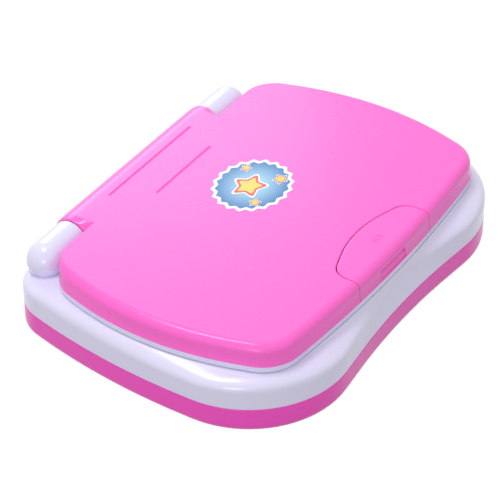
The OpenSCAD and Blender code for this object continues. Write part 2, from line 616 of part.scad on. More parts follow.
// ---------------------------------------------------------------- lid
latch_side = lid_front + latch_depth * 0.69;            // where its sides turn into its curved back
latch_corner_r = 10.7;
LATCH = [[latch_half, -case_d / 2 - 10, 0], [latch_half, latch_side, latch_corner_r],
    [0, lid_front + latch_depth + 3.75, 75],
    [-latch_half, latch_side, latch_corner_r], [-latch_half, -case_d / 2 - 10, 0]];
recess_x = [-1 - recess_half, recess_half - 1];
recess_top = shell_z + 7;               // lip over the finger recess
rib_at = [4, lid_front + 14.3];
rib_step = 2.9;
latch_plate_z = top_z - wall;
latch_axis_y = lid_front + 7;
latch_axis_z = top_z - 5.3;
latch_lug_x = 24;
latch_boss_x = 20;
lug_t = 3;
lug_r = latch_pin_r + 0.9;
hook_z = deck_z - 4.6;                  // underside of the hook

module lid_outer() loft(concat([[lid_ring(0), shell_z], [lid_ring(lid_draft * 0.6), shell_z + 1.5]],
    [for (a = [0, 30, 60])
        [lid_ring(lid_draft + lid_round * (1 - cos(a))), top_z - lid_round * (1 - sin(a))]],
    [[lid_ring(lid_draft + lid_round), top_z]]));
module lid_inner() loft([[lid_ring(0, wall), shell_z - 1], [lid_ring(lid_draft, wall), top_z - lid_round],
    [lid_ring(lid_draft + lid_round * 0.6, wall), top_z - wall]]);

lid_boss_x = lid_w / 2 - 18;
lid_boss_r = 3.4;
LID_BOSSES = [for (side = [-1, 1], spot = [[lid_boss_x, lid_front + 30], [lid_boss_x, lid_back - 24],
    [54, lid_front + 11]]) [side * spot[0], spot[1]]];
frame_floor = 2;
lid_head_t = 1.2;
latch_spring_y = lid_front + 15.5;
lid_floor_z = frame_z + frame_floor;

module barrel_profile(reach) {          // across the hinge, x = distance behind the axis, y = height
    circle(barrel_r);
    translate([-reach, 0]) square([reach, barrel_r]);
}
module barrel_half_way() {              // from the middle to one end, where a facet joins flat and round
    reach = hinge_y - lid_back;
    linear_extrude(barrel_half) barrel_profile(reach + 8);
    hull() {
        translate([0, 0, barrel_half - eps]) linear_extrude(eps) barrel_profile(reach);
        translate([0, 0, barrel_tip - eps]) linear_extrude(eps) circle(knuckle_r + 0.6);
    }
}
module latch_space(gap) translate([latch_x, 0, frame_z - 1]) linear_extrude(top_z - frame_z + 3)
    polygon(closed([for (c = LATCH)
        [c[0] + sign(c[0]) * gap, c[1] + (c[2] > 0 ? gap : 0), max(c[2] + gap, 0.1)]]));
barrel_room = barrel_half - 12;         // half the length of the hollow in the barrel
groove_w = 1.8;
groove_deep = 0.8;
module groove(x, half, y) box([x - half, x + half], [y - groove_w / 2, y + groove_w / 2],
    [top_z - groove_deep, top_z + 1]);

module lid_shell() color([1, 0.57, 0.88]) difference() {
    union() {
        difference() {
            lid_outer();
            lid_inner();
        }
        for (side = [0, 1]) translate([hinge_x, hinge_y, hinge_z]) mirror([side, 0, 0]) rotate([90, 0, 90])
            barrel_half_way();
        for (b = LID_BOSSES) translate([b[0], b[1], lid_floor_z + 0.05])
            cylinder(r = lid_boss_r, h = top_z - wall - lid_floor_z);
    }
    hinge_rod(-barrel_room, barrel_room, barrel_r - wall);
    hinge_rod(barrel_room - 1, barrel_tip + 1, pin_r + run_gap);
    hinge_rod(-barrel_tip - 1, 1 - barrel_room, bush_r + run_gap);
    box([hinge_x - barrel_room, hinge_x + barrel_room], [lid_back - 9, hinge_y],
        [shell_z + wall, top_z - wall]);
    latch_space(latch_gap);
    for (b = LID_BOSSES) translate([b[0], b[1], lid_floor_z - 1]) cylinder(r = pilot_r, h = 8);
    groove(0, 41, hinge_y - 4.6);
    groove(2.6, 27.6, hinge_y - 25.5);
}

screen_y = -3;
window_margin = 2.4;
display_z = frame_z + 1 + window_t + 0.1;
lid_board_z = display_z + display_t + 0.1;
lid_board_top = lid_board_z + board_t;
lid_board_half = view_w / 2 + 9;
lid_board_y = [screen_y - view_d / 2 - 6, screen_y + view_d / 2 + 6];
lid_post_in = 4;                        // from the board's sides to its screws
lid_plug_x = -lid_board_half + lid_post_in + head_r + 7.2;
LID_POSTS = [for (side = [-1, 1], y = [lid_board_y[0] + 3.2, lid_board_y[1] - 3.2])
    [side * (lid_board_half - lid_post_in), y]];

module screen_rect(grow, z) box([-view_w / 2 - grow, view_w / 2 + grow],
    [screen_y - view_d / 2 - grow, screen_y + view_d / 2 + grow], z);

// Ear round the latch pin at x, with its web down or up to z, and the pin's bore in it
module lug(x, z) {
    box([x - lug_t / 2, x + lug_t / 2], [latch_axis_y - lug_r, latch_axis_y + lug_r],
        [min(z, latch_axis_z), max(z, latch_axis_z)]);
    along_x(x - lug_t / 2, x + lug_t / 2, latch_axis_y, latch_axis_z, lug_r, 32);
}
module latch_bore(x) along_x(x - lug_t, x + lug_t, latch_axis_y, latch_axis_z, latch_pin_r + run_gap, 32);

module lid_frame() color([0.9, 0.89, 0.97]) difference() {
    union() {
        difference() {
            translate([0, 0, frame_z]) linear_extrude(frame_h) polygon(outline(LID, 0.3));
            translate([0, 0, lid_floor_z]) linear_extrude(frame_h) polygon(outline(LID, wall + 0.3));
        }
        for (p = LID_POSTS) translate([p[0], p[1], lid_floor_z - eps])
            cylinder(r = post_r, h = lid_board_z - lid_floor_z + eps);
        for (side = [-1, 1]) lug(side * latch_lug_x, lid_floor_z - eps);
        translate([0, latch_spring_y, lid_floor_z - eps]) cylinder(r = 1.8, h = 2);
    }
    screen_rect(0, [frame_z - 1, lid_floor_z + 1]);
    screen_rect(window_margin + 0.2, [frame_z + 1, lid_floor_z + 3]);
    hinge_rod(-barrel_tip, barrel_tip, barrel_r + run_gap);
    box([-hook_half - 0.6, hook_half + 0.6], [lid_front + 1.6, lid_front + 7.2],
        [frame_z - 1, lid_floor_z + 1]);
    for (side = [-1, 1]) latch_bore(side * latch_lug_x);
    for (b = LID_BOSSES) translate([b[0], b[1], frame_z - 1]) {
        cylinder(r = boss_hole_r, h = 6);
        cylinder(r = head_r + 0.3, h = 1 + lid_head_t);
    }
    for (p = LID_POSTS) translate([p[0], p[1], lid_floor_z - 0.6]) cylinder(r = pilot_r, h = 8);
}

module lid_screws() color([0.7, 0.7, 0.72])
    for (b = LID_BOSSES) translate([b[0], b[1], frame_z]) flat_screw(lid_head_t, 8);

module screen_window() color([0.75, 0.85, 0.9, 0.5])
    screen_rect(window_margin, [frame_z + 1, frame_z + 1 + window_t]);
module display_panel() color([0.55, 0.62, 0.5]) screen_rect(1, [display_z, display_z + display_t]);
module lid_board() color([0.16, 0.45, 0.25]) difference() {
    union() {
        box([-lid_board_half, lid_board_half], lid_board_y, [lid_board_z, lid_board_top]);
        translate([lid_plug_x - 4, lid_board_y[1] - 9, lid_board_top - eps]) cube([9, 4, 4]);
        translate([8, screen_y - 6, lid_board_top - eps]) cube([14, 14, 1.5]);
    }
    for (p = LID_POSTS) translate([p[0], p[1], lid_board_z - 1]) cylinder(r = boss_hole_r, h = 5);
}
module lid_board_screws() color([0.7, 0.7, 0.72])
    for (p = LID_POSTS) screw(p[0], p[1], lid_board_top, lid_floor_z - 0.4, -1);

badge_at = [10.2, lid_back - 55.3, top_z];
teeth = 22;                             // scallops round the badge
module badge() color([0.45, 0.75, 0.95]) translate(badge_at) linear_extrude(badge_t)
    polygon([for (k = [0:2 * teeth - 1]) let (a = 180 * k / teeth, s = k % 2 == 0 ? 1 : 0.93)
        s * [badge_rx * cos(a), badge_ry * sin(a)]]);

module latch() color([1, 0.56, 0.87]) difference() {
    union() {
        intersection() {
            difference() {
                lid_outer();
                lid_inner();
            }
            latch_space(0);
        }
        box([recess_x[0] - 2, recess_x[1] + 2], [lid_front + 1.7, lid_front + 3.5],
            [shell_z, recess_top + 1.2]);
        for (side = [-1, 1]) lug(side * latch_boss_x, latch_plate_z + 0.5);
        box([-hook_half, hook_half], [lid_front + 3.3, lid_front + 4.9], [hook_z, latch_plate_z + 0.5]);
        box([-hook_half, hook_half], [lid_front + 4.8, lid_front + 6.5], [hook_z, deck_z - wall - 0.2]);
        for (k = [-1, 0, 1]) translate([rib_at[0] + rib_step * k, rib_at[1], top_z + 0.15 - eps])
            cube([0.7, 3.6, 0.3 + eps], center = true);         // grip ribs
    }
    hull() {                            // finger recess, deepest under its lip
        box(recess_x, [lid_front - 5, lid_front + 2.4], [recess_top - eps, recess_top]);
        box(recess_x, [lid_front - 5, lid_front - 0.2], [shell_z + 1, shell_z + 1 + eps]);
    }
    for (side = [-1, 1]) latch_bore(side * latch_boss_x);
}
module latch_pin() color([0.72, 0.72, 0.74])
    along_x(-latch_lug_x - 2.5, latch_lug_x + 2.5, latch_axis_y, latch_axis_z, latch_pin_r, 32);
module latch_spring() color([0.75, 0.75, 0.78]) translate([0, latch_spring_y, 0])
    tube(helix(2.6, lid_floor_z + 0.5, latch_plate_z - 0.5, 5), 0.4, 6);

lower_case();
upper_case();
rubber_feet();
case_screws();
battery_door();
battery_door_screw();
battery_cells();
battery_contacts();
main_board();
board_screws();
key_mat();
speaker();
power_switch();
switch_housing();
hinge_bush();
hinge_pin();
base_wires();
lid_shell();
lid_frame();
screen_window();
display_panel();
lid_board();
lid_board_screws();
lid_screws();
badge();
lid_wires();
latch();
latch_pin();
latch_spring();
key_space();
for (k = LETTERS) letter_key(k);
for (i = [0:len(BUTTONS) - 1]) activity_button(i);
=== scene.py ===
# %% [markdown]
# # A toy laptop computer in its full finish
# The toy is a clamshell: a pink lower case, a white upper case with a keyboard in a sunk tray, and a
# glossy pink lid on a barrel hinge. This lesson builds the visible mouldings with smooth outlines and
# rounded edges round a fixed frame of plain solids, gives every piece a finish made of shader nodes,
# and sets up a plain studio. Lengths are typed in millimetres and become metres in one place only.

import json
import math

import bmesh
import bpy
from mathutils import Matrix, Vector


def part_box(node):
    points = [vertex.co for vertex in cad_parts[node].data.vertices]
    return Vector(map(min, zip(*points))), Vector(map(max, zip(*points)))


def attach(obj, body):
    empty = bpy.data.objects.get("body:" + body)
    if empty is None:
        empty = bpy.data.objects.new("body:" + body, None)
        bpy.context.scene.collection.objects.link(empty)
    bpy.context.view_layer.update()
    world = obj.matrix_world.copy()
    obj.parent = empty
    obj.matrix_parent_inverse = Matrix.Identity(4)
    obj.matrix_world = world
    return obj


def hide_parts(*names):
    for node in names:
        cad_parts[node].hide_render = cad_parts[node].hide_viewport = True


MM = 0.001
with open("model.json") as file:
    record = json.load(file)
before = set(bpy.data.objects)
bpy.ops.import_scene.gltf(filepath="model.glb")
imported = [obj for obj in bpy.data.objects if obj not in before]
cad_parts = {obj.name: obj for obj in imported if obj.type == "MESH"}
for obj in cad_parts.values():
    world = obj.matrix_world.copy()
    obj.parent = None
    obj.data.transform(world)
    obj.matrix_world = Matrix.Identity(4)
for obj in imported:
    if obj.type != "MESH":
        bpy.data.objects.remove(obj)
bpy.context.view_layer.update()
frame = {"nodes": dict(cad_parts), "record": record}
nodes = frame["nodes"]

# %% [markdown]
# ## Sizes
# A moulding is a stack of outlines, so the lesson starts with the heights of that stack, from the table
# up, and with the few widths that the outlines need. The prints show the frame's own boxes, against
# which a mistake in a size shows first.

# %% Heights and widths, in millimetres
CASE_W, CASE_D, WALL = 260, 187, 2.2
FOOT_Z, SEAM_Z, DECK_Z, FRAME_Z, SHELL_Z, TOP_Z = 1, 16.5, 34.2, 34.5, 38, 50.5
FLOOR_Z, TRAY_Z = FOOT_Z + WALL, 29
UNDER_Z = TRAY_Z - WALL
BARREL_R, TROUGH_R, KNUCKLE_R = 12, 12.4, 11
HINGE_X, BARREL_HALF, BARREL_TIP, KNUCKLE_X, KNUCKLE_END = -3.8, 62.5, 67.3, 67.7, 90.7
HINGE_Y, HINGE_Z = CASE_D / 2 - BARREL_R - 0.5, TOP_Z - BARREL_R
LID_BACK, LID_FRONT = HINGE_Y - BARREL_R + 0.7, -CASE_D / 2 + 9.7
LID_W = CASE_W - 14


def box_of(node):
    """Lowest and highest corner of a frame node, in millimetres."""
    return [tuple(round(c / MM, 2) for c in corner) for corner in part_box(node)]


for name in ("lower_case", "upper_case", "lid_shell", "lid_frame"):
    print(name, *box_of(name))

# %% [markdown]
# ## Outlines
# Seen from above, the case and the lid are rings of arcs that run into one another without a corner, as
# on most moulded toys. Each outline is a short list of corner points with a radius, and the arc at a
# corner is computed from its two neighbours. Moving every arc inwards by the same amount gives the
# next ring of a rounded edge, which is how all the soft edges below are made.

# %% Arc outlines
ARC_STEPS = 20


def corner_arc(before, corner, after, radius, inset, steps):
    """Points of the arc that rounds one corner, moved inwards by inset."""
    way_in, way_out = (corner - before).normalized(), (after - corner).normalized()
    turn = math.atan2(way_in.cross(way_out), way_in.dot(way_out))
    side = math.copysign(1, turn)
    outward = Vector((way_in.y, -way_in.x))
    centre = corner - way_in * radius * math.tan(abs(turn) / 2) - outward * side * radius
    start = math.atan2(outward.y, outward.x)
    angles = [start + turn * k / steps for k in range(steps + 1)]
    return [centre + Vector((math.cos(a), math.sin(a))) * (side * radius - inset) for a in angles]


def outline(corners, inset=0.0, steps=ARC_STEPS):
    """Closed ring of points through a list of (x, y, radius) corners."""
    ring, n = [], len(corners)
    for i, (x, y, radius) in enumerate(corners):
        before, after = corners[i - 1], corners[(i + 1) % n]
        ring += corner_arc(Vector(before[:2]), Vector((x, y)), Vector(after[:2]), radius, inset, steps)
    return ring


def mirrored(half):
    """A whole outline from the half that runs from the front middle round to the back."""
    return half + [(-x, y, r) for x, y, r in reversed(half[1:])]


def mixed(a, b, share):
    return [p.lerp(q, share) for p, q in zip(a, b)]


def case_outline(angle, sweep):
    """The case's outline: two round front lobes with a hollow of this slope between them."""
    lobe = 58
    rise, run = -CASE_D / 2 + lobe - lobe / math.cos(angle), CASE_W / 2 - lobe
    return mirrored([(0, rise + math.tan(angle) * run, sweep / math.tan(angle)),
                     (CASE_W / 2, rise - math.tan(angle) * lobe, lobe), (CASE_W / 2, CASE_D / 2 - 71, 400),
                     (CASE_W / 2 - 18, CASE_D / 2, 26)])


SIDE_ANGLE = math.asin((LID_BACK - LID_FRONT) / 3 / 175)


def lid_outline(drop=0.0):
    """The lid's outline with a bowed front and bowed sides, its back edge moved back by drop."""
    side, nose, side_r, front_r = SIDE_ANGLE, math.radians(5.9), 175, 3.5 * LID_W
    middle = (LID_FRONT + LID_BACK) / 2 + 4.2
    bow_x = LID_W / 2 + side_r * (1 / math.cos(side) - 1)
    nose_y = LID_FRONT - front_r * (1 / math.cos(nose) - 1)
    corner_x = (bow_x - math.tan(side) * (middle - nose_y)) / (1 - math.tan(side) * math.tan(nose))
    back = LID_BACK + drop
    return mirrored([(0, nose_y, front_r), (corner_x, nose_y + math.tan(nose) * corner_x, 24),
                     (bow_x, middle, side_r), (bow_x - math.tan(side) * (back - middle), back, 24)])


CASE = case_outline(math.radians(5.7), 48)
RIDGE = case_outline(math.radians(10), 32)
LID = lid_outline()
for name, corners in (("case", CASE), ("ridge", RIDGE), ("lid", LID)):
    ring = outline(corners)
    print(name, "outline:", len(ring), "points,", round(max(p.x for p in ring) * 2, 1), "wide")

# %% [markdown]
# ## Solids from rings
# Nearly every piece of this toy is a closed skin over a stack of rings: walls, cavities, bosses and
# bores alike. Making all of them with one function keeps the meshes closed, which matters because the
# next step joins and cuts them.

# %% Skins, posts and boxes


def skin(rings):
    """Closed mesh over rings of 3-D points, all with as many points, capped at both ends."""
    bm = bmesh.new()
    rows = [[bm.verts.new(p) for p in ring] for ring in rings]
    for low, high in zip(rows, rows[1:]):
        for k in range(len(low)):
            n = (k + 1) % len(low)
            bm.faces.new((low[k], low[n], high[n], high[k]))
    bm.faces.new(rows[0][::-1])
    bm.faces.new(rows[-1])
    bmesh.ops.recalc_face_normals(bm, faces=bm.faces)
    mesh = bpy.data.meshes.new("skin")
    bm.to_mesh(mesh)
    bm.free()
    return mesh


def stack(rings):
    """Skin over flat rings, each given as (outline points, height), lowest first."""
    return skin([[(p[0], p[1], z) for p in ring] for ring, z in rings])


def circle(radius, x=0.0, y=0.0, steps=48):
    return [(x + radius * math.cos(2 * math.pi * k / steps), y + radius * math.sin(2 * math.pi * k / steps))
            for k in range(steps)]


def post(x, y, *profile, steps=48):
    """Upright turned solid at (x, y) from (radius, height) pairs, lowest first."""
    return stack([(circle(r, x, y, steps), z) for r, z in profile])


def rod(y, z, *profile, steps=64):
    """Turned solid along X through (y, z) from (radius, x) pairs."""
    return skin([[(x, y + a, z + b) for a, b in circle(r, steps=steps)] for r, x in profile])


def hinge_rod(*profile, steps=64):
    """Turned solid on the hinge axis, its x counted from the middle of the hinge."""
    return rod(HINGE_Y, HINGE_Z, *[(r, HINGE_X + x) for r, x in profile], steps=steps)


def box(x, y, z, chamfer=0.0):
    """Block between [low, high] pairs, its upright edges cut by chamfer."""
    c = chamfer
    if c:
        ring = [(x[0] + c, y[0]), (x[1] - c, y[0]), (x[1], y[0] + c), (x[1], y[1] - c),
                (x[1] - c, y[1]), (x[0] + c, y[1]), (x[0], y[1] - c), (x[0], y[0] + c)]
    else:
        ring = [(x[0], y[0]), (x[1], y[0]), (x[1], y[1]), (x[0], y[1])]
    return stack([(ring, z[0]), (ring, z[1])])


def bar(x, y, w, d, r, *levels):
    """Rounded rectangle centred on (x, y), from (growth, height) levels, lowest first."""
    def ring(grow):
        corners = [(x + sx * (w / 2 + grow), y + sy * (d / 2 + grow), r + grow)
                   for sx, sy in ((-1, -1), (1, -1), (1, 1), (-1, 1))]
        return outline(corners, steps=6)
    return stack([(ring(grow), z) for grow, z in levels])


# %% [markdown]
# ## Joining and cutting
# Real mouldings are easiest to think of as "this, plus these bosses, minus those holes". Blender's
# Boolean modifier does that; its Manifold solver is quick and exact on closed meshes, so a list of
# steps goes on one object as one modifier each and is evaluated once.

# %% Assemble a moulding from steps


def assemble(base, *steps):
    """base is a closed mesh, a step is ("+", mesh), ("-", mesh) or ("&", mesh), done in order."""
    kinds = {"+": "UNION", "-": "DIFFERENCE", "&": "INTERSECT"}
    link = bpy.context.scene.collection.objects.link
    work = bpy.data.objects.new("work", base)
    link(work)
    tools = []
    for sign, mesh in steps:
        tool = bpy.data.objects.new("tool", mesh)
        link(tool)
        tools.append(tool)
        step = work.modifiers.new(sign, "BOOLEAN")
        step.operation, step.solver, step.object = kinds[sign], "MANIFOLD", tool
    graph = bpy.context.evaluated_depsgraph_get()
    made = bpy.data.meshes.new_from_object(work.evaluated_get(graph), depsgraph=graph)
    for o in [work, *tools]:
        bpy.data.objects.remove(o)
    return made


def soften(mesh, sharp_above=32.0):
    """Doubles merged, smooth shading with crisp edges above an angle."""
    bm = bmesh.new()
    bm.from_mesh(mesh)
    bmesh.ops.remove_doubles(bm, verts=bm.verts, dist=0.002)
    bmesh.ops.dissolve_degenerate(bm, edges=bm.edges, dist=0.002)
    bm.to_mesh(mesh)
    bm.free()
    mesh.shade_smooth()
    mesh.set_sharp_from_angle(angle=math.radians(sharp_above))
    return mesh


# %% [markdown]
# ## From a mesh to a piece
# A finished piece has its mesh in metres, rides on one body of the frame, says which frame node it
# stands for and holds its finish in a material slot. One function does all four and
# prints the piece, so that none of them is forgotten.

# %% Put a piece in the scene
BODY_OF = {n: body for body, members in frame["record"]["behaviour"]["bodies"].items() for n in members}


def place(mesh, node, finish=None, weighted=True):
    """Makes mesh (in millimetres) the piece that stands for a frame node; finish None keeps its own."""
    mesh.transform(Matrix.Scale(MM, 4))
    piece = bpy.data.objects.new(node + "_piece", mesh)
    bpy.context.scene.collection.objects.link(piece)
    if finish:
        mesh.materials.clear()
        mesh.materials.append(finish)
    if weighted:
        modifier = piece.modifiers.new("weighted", "WEIGHTED_NORMAL")
        modifier.keep_sharp = True
        graph = bpy.context.evaluated_depsgraph_get()
        smooth = bpy.data.meshes.new_from_object(piece.evaluated_get(graph), depsgraph=graph)
        piece.modifiers.clear()
        piece.data = smooth
    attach(piece, BODY_OF[node])
    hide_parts(node)
    print(f"{piece.name}: {len(piece.data.polygons)} faces, on {BODY_OF[node]}")
    return piece


# %% [markdown]
# ## Shader building blocks
# Moulded plastic is never one flat colour: the gloss waves a little like orange peel, the colour drifts
# with the flow of the melt, and handling leaves faint hairlines. Each effect is a small node group with
# named inputs, built once and placed in each material with values of its own. A short helper adds a
# node and wires it in one call, for shaders and geometry alike.

# %% Node helpers


def add(tree, kind, links=None, **settings):
    """New node; links maps an input's name or number to a socket to link or a value to set."""
    made = tree.nodes.new(kind)
    for key, value in settings.items():
        setattr(made, key, value)
    for key, value in (links or {}).items():
        if isinstance(value, bpy.types.NodeSocket):
            tree.links.new(value, made.inputs[key])
        else:
            made.inputs[key].default_value = value
    return made


def group_of(kind, name, inputs, outputs):
    """Empty node group with (name, socket type, default) inputs and (name, socket type) outputs."""
    tree = bpy.data.node_groups.new(name, kind)
    for label, socket, default in inputs:
        made = tree.interface.new_socket(label, in_out="INPUT", socket_type="NodeSocket" + socket)
        if default is not None:
            made.default_value = default
    for label, socket in outputs:
        tree.interface.new_socket(label, in_out="OUTPUT", socket_type="NodeSocket" + socket)
    return tree, tree.nodes.new("NodeGroupInput"), tree.nodes.new("NodeGroupOutput")


def maths(tree, how, a, b=0.0, c=0.0):
    return add(tree, "ShaderNodeMath", {0: a, 1: b, 2: c}, operation=how).outputs[0]


# %% Moulded skin: a waving gloss and a fine grain, as a height and a roughness
skin_group, way_in, way_out = group_of(
    "ShaderNodeTree", "Moulded skin",
    [("Wave Size", "Float", 90.0), ("Wave", "Float", 0.6), ("Grain Size", "Float", 1800.0),
     ("Grain", "Float", 0.2), ("Roughness", "Float", 0.3), ("Roughness Range", "Float", 0.08)],
    [("Height", "Float"), ("Roughness", "Float")])
place_of = add(skin_group, "ShaderNodeTexCoord").outputs["Object"]
wave = add(skin_group, "ShaderNodeTexNoise", {"Vector": place_of, "Scale": way_in.outputs["Wave Size"],
                                              "Detail": 1.0, "Roughness": 0.4}).outputs["Fac"]
grain = add(skin_group, "ShaderNodeTexNoise", {"Vector": place_of, "Scale": way_in.outputs["Grain Size"],
                                               "Detail": 2.0, "Roughness": 0.6}).outputs["Fac"]
height = maths(skin_group, "ADD", maths(skin_group, "MULTIPLY", wave, way_in.outputs["Wave"]),
               maths(skin_group, "MULTIPLY", grain, way_in.outputs["Grain"]))
patch = add(skin_group, "ShaderNodeTexNoise", {"Vector": place_of, "Scale": 38.0,
                                               "Detail": 3.0}).outputs["Fac"]
uneven = maths(skin_group, "MULTIPLY_ADD", maths(skin_group, "SUBTRACT", patch, 0.5),
               way_in.outputs["Roughness Range"], way_in.outputs["Roughness"])
skin_group.links.new(height, way_out.inputs["Height"])
skin_group.links.new(uneven, way_out.inputs["Roughness"])

# %% Colour drift: the slow change of tone in one batch of plastic
drift_group, way_in, way_out = group_of(
    "ShaderNodeTree", "Colour drift",
    [("Colour", "Color", (0.8, 0.8, 0.8, 1)), ("Deeper", "Color", (0.7, 0.7, 0.7, 1)),
     ("Size", "Float", 22.0), ("Amount", "Float", 0.3)], [("Colour", "Color")])
place_of = add(drift_group, "ShaderNodeTexCoord").outputs["Object"]
cloud = add(drift_group, "ShaderNodeTexNoise", {"Vector": place_of, "Scale": way_in.outputs["Size"],
                                                "Detail": 3.0, "Roughness": 0.55}).outputs["Fac"]
share = maths(drift_group, "MULTIPLY", cloud, way_in.outputs["Amount"])
blend = add(drift_group, "ShaderNodeMix", {"Factor": share}, data_type="RGBA")
drift_group.links.new(way_in.outputs["Colour"], blend.inputs[6])
drift_group.links.new(way_in.outputs["Deeper"], blend.inputs[7])
drift_group.links.new(blend.outputs[2], way_out.inputs["Colour"])

# %% Hairlines: long faint scratches from wiping and handling
hair_group, way_in, way_out = group_of(
    "ShaderNodeTree", "Hairlines", [("Density", "Float", 160.0), ("Strength", "Float", 0.5)],
    [("Mask", "Float")])
place_of = add(hair_group, "ShaderNodeTexCoord").outputs["Object"]
lines = None
for turn, stretch in ((0.5, (1.0, 0.05, 1.0)), (-0.9, (1.0, 0.07, 1.0)), (1.9, (1.0, 0.04, 1.0))):
    turned = add(hair_group, "ShaderNodeMapping", {"Vector": place_of, "Rotation": (0.0, 0.0, turn),
                                                   "Scale": stretch}).outputs[0]
    streak = add(hair_group, "ShaderNodeTexNoise", {"Vector": turned, "Scale": way_in.outputs["Density"],
                                                    "Detail": 1.0, "Distortion": 0.3}).outputs["Fac"]
    thin = add(hair_group, "ShaderNodeMapRange", {"Value": streak, "From Min": 0.68,
                                                  "From Max": 0.78}).outputs[0]
    lines = thin if lines is None else maths(hair_group, "MAXIMUM", lines, thin)
hair_group.links.new(maths(hair_group, "MULTIPLY", lines, way_in.outputs["Strength"]), way_out.inputs["Mask"])

# %% [markdown]
# ## Plastics
# The lid and the lower case are the same glossy pink styrene, the upper case and the lid's frame a cool
# white one. A Principled shader with a thin coat gives the double gloss of fresh mouldings. The colours
# are written in sRGB and turned to linear light here, because that is what the shader's sockets hold.

# %% Colours and the plastic recipe


def rgb(red, green, blue):
    """Linear colour from sRGB values of 0 to 255."""
    parts = [v / 255 for v in (red, green, blue)]
    return (*[v / 12.92 if v <= 0.04045 else ((v + 0.055) / 1.055) ** 2.4 for v in parts], 1.0)


def new_material(name):
    material = bpy.data.materials.new(name)
    material.use_nodes = True
    tree = material.node_tree
    return material, tree, tree.nodes["Principled BSDF"]


def use(tree, group, **values):
    """Places a shader group; values set its inputs, underscores standing for spaces."""
    made = add(tree, "ShaderNodeGroup", node_tree=group)
    for key, value in values.items():
        socket = made.inputs[key.replace("_", " ")]
        if isinstance(value, bpy.types.NodeSocket):
            tree.links.new(value, socket)
        else:
            socket.default_value = value
    return made


def plastic(name, colour, deeper, roughness=0.3, coat=0.3, drift=0.35, wave=0.6, grain=0.2,
            bump=0.05, hairs=0.06, shine=0.5):
    """Moulded plastic with drifting colour, uneven gloss and hairlines."""
    material, tree, shader = new_material(name)
    tone = use(tree, drift_group, Colour=colour, Deeper=deeper, Amount=drift)
    surface = use(tree, skin_group, Wave=wave, Grain=grain, Roughness=roughness)
    hair = use(tree, hair_group, Strength=hairs)
    rough = maths(tree, "ADD", surface.outputs["Roughness"], hair.outputs["Mask"])
    relief = add(tree, "ShaderNodeBump", {"Height": surface.outputs["Height"], "Strength": bump,
                                          "Distance": 0.0004})
    tree.links.new(tone.outputs["Colour"], shader.inputs["Base Color"])
    tree.links.new(rough, shader.inputs["Roughness"])
    tree.links.new(relief.outputs["Normal"], shader.inputs["Normal"])
    shader.inputs["IOR"].default_value = 1.5
    shader.inputs["Coat Weight"].default_value = coat
    shader.inputs["Coat Roughness"].default_value = 0.12
    shader.inputs["Specular IOR Level"].default_value = shine
    return material


PINK, DEEP_PINK = rgb(255, 107, 207), rgb(250, 97, 200)
lid_pink = plastic("Glossy pink styrene, lid", PINK, DEEP_PINK, roughness=0.27, coat=0.15, drift=0.2,
                   bump=0.02, hairs=0.004, shine=0.3)
case_pink = plastic("Satin pink styrene, case", rgb(246, 82, 197), rgb(238, 72, 188), roughness=0.28,
                    coat=0.06, drift=0.2, bump=0.03, hairs=0.01, shine=0.25)
white = plastic("Cool white styrene", rgb(224, 221, 247), rgb(218, 215, 242), roughness=0.26, coat=0.3,
                drift=0.25, bump=0.02, hairs=0.015)
key_white = plastic("Fine matt white key", rgb(240, 238, 248), rgb(230, 228, 242), roughness=0.48, coat=0.0,
                    grain=0.6, bump=0.12)
space_pink = plastic("Fine matt pink key", rgb(247, 150, 218), rgb(240, 134, 208), roughness=0.45, coat=0.0,
                     grain=0.6, bump=0.12)
key_ink = plastic("Violet pad print", rgb(104, 66, 150), rgb(88, 54, 134), roughness=0.4, coat=0.0)
button_plastic = {
    "red": plastic("Red button", rgb(226, 50, 62), rgb(206, 38, 52), coat=0.5, roughness=0.22),
    "yellow": plastic("Yellow button", rgb(250, 206, 52), rgb(240, 190, 36), coat=0.5, roughness=0.22),
    "green": plastic("Green button", rgb(74, 190, 92), rgb(60, 172, 80), coat=0.5, roughness=0.22),
    "blue": plastic("Blue button", rgb(62, 128, 230), rgb(50, 112, 212), coat=0.5, roughness=0.22)}
button_ink = plastic("White pad print", rgb(245, 245, 248), rgb(234, 234, 240), roughness=0.4, coat=0.0)
knob_plastic = plastic("Yellow switch knob", rgb(244, 196, 60), rgb(232, 180, 44), roughness=0.42, coat=0.0,
                       bump=0.1)
bush_plastic = plastic("Natural acetal bush", rgb(232, 232, 234), rgb(222, 222, 226), roughness=0.42,
                       coat=0.0)
speaker_black = plastic("Black speaker cone", rgb(46, 46, 50), rgb(34, 34, 38), roughness=0.7, coat=0.0,
                        grain=1.0, bump=0.25)
print("plastics:", len(bpy.data.materials))

# %% [markdown]
# ## Rubber, metal, boards and glass
# The smaller parts each have one tell-tale: foot rubber is matt and pitted, plated screws have turning
# marks, a circuit board shows copper tracks under green lacquer, a battery has a printed sleeve and the
# display a grid of dots. Each is one pattern on the piece's own coordinates.

# %% Materials of the small parts


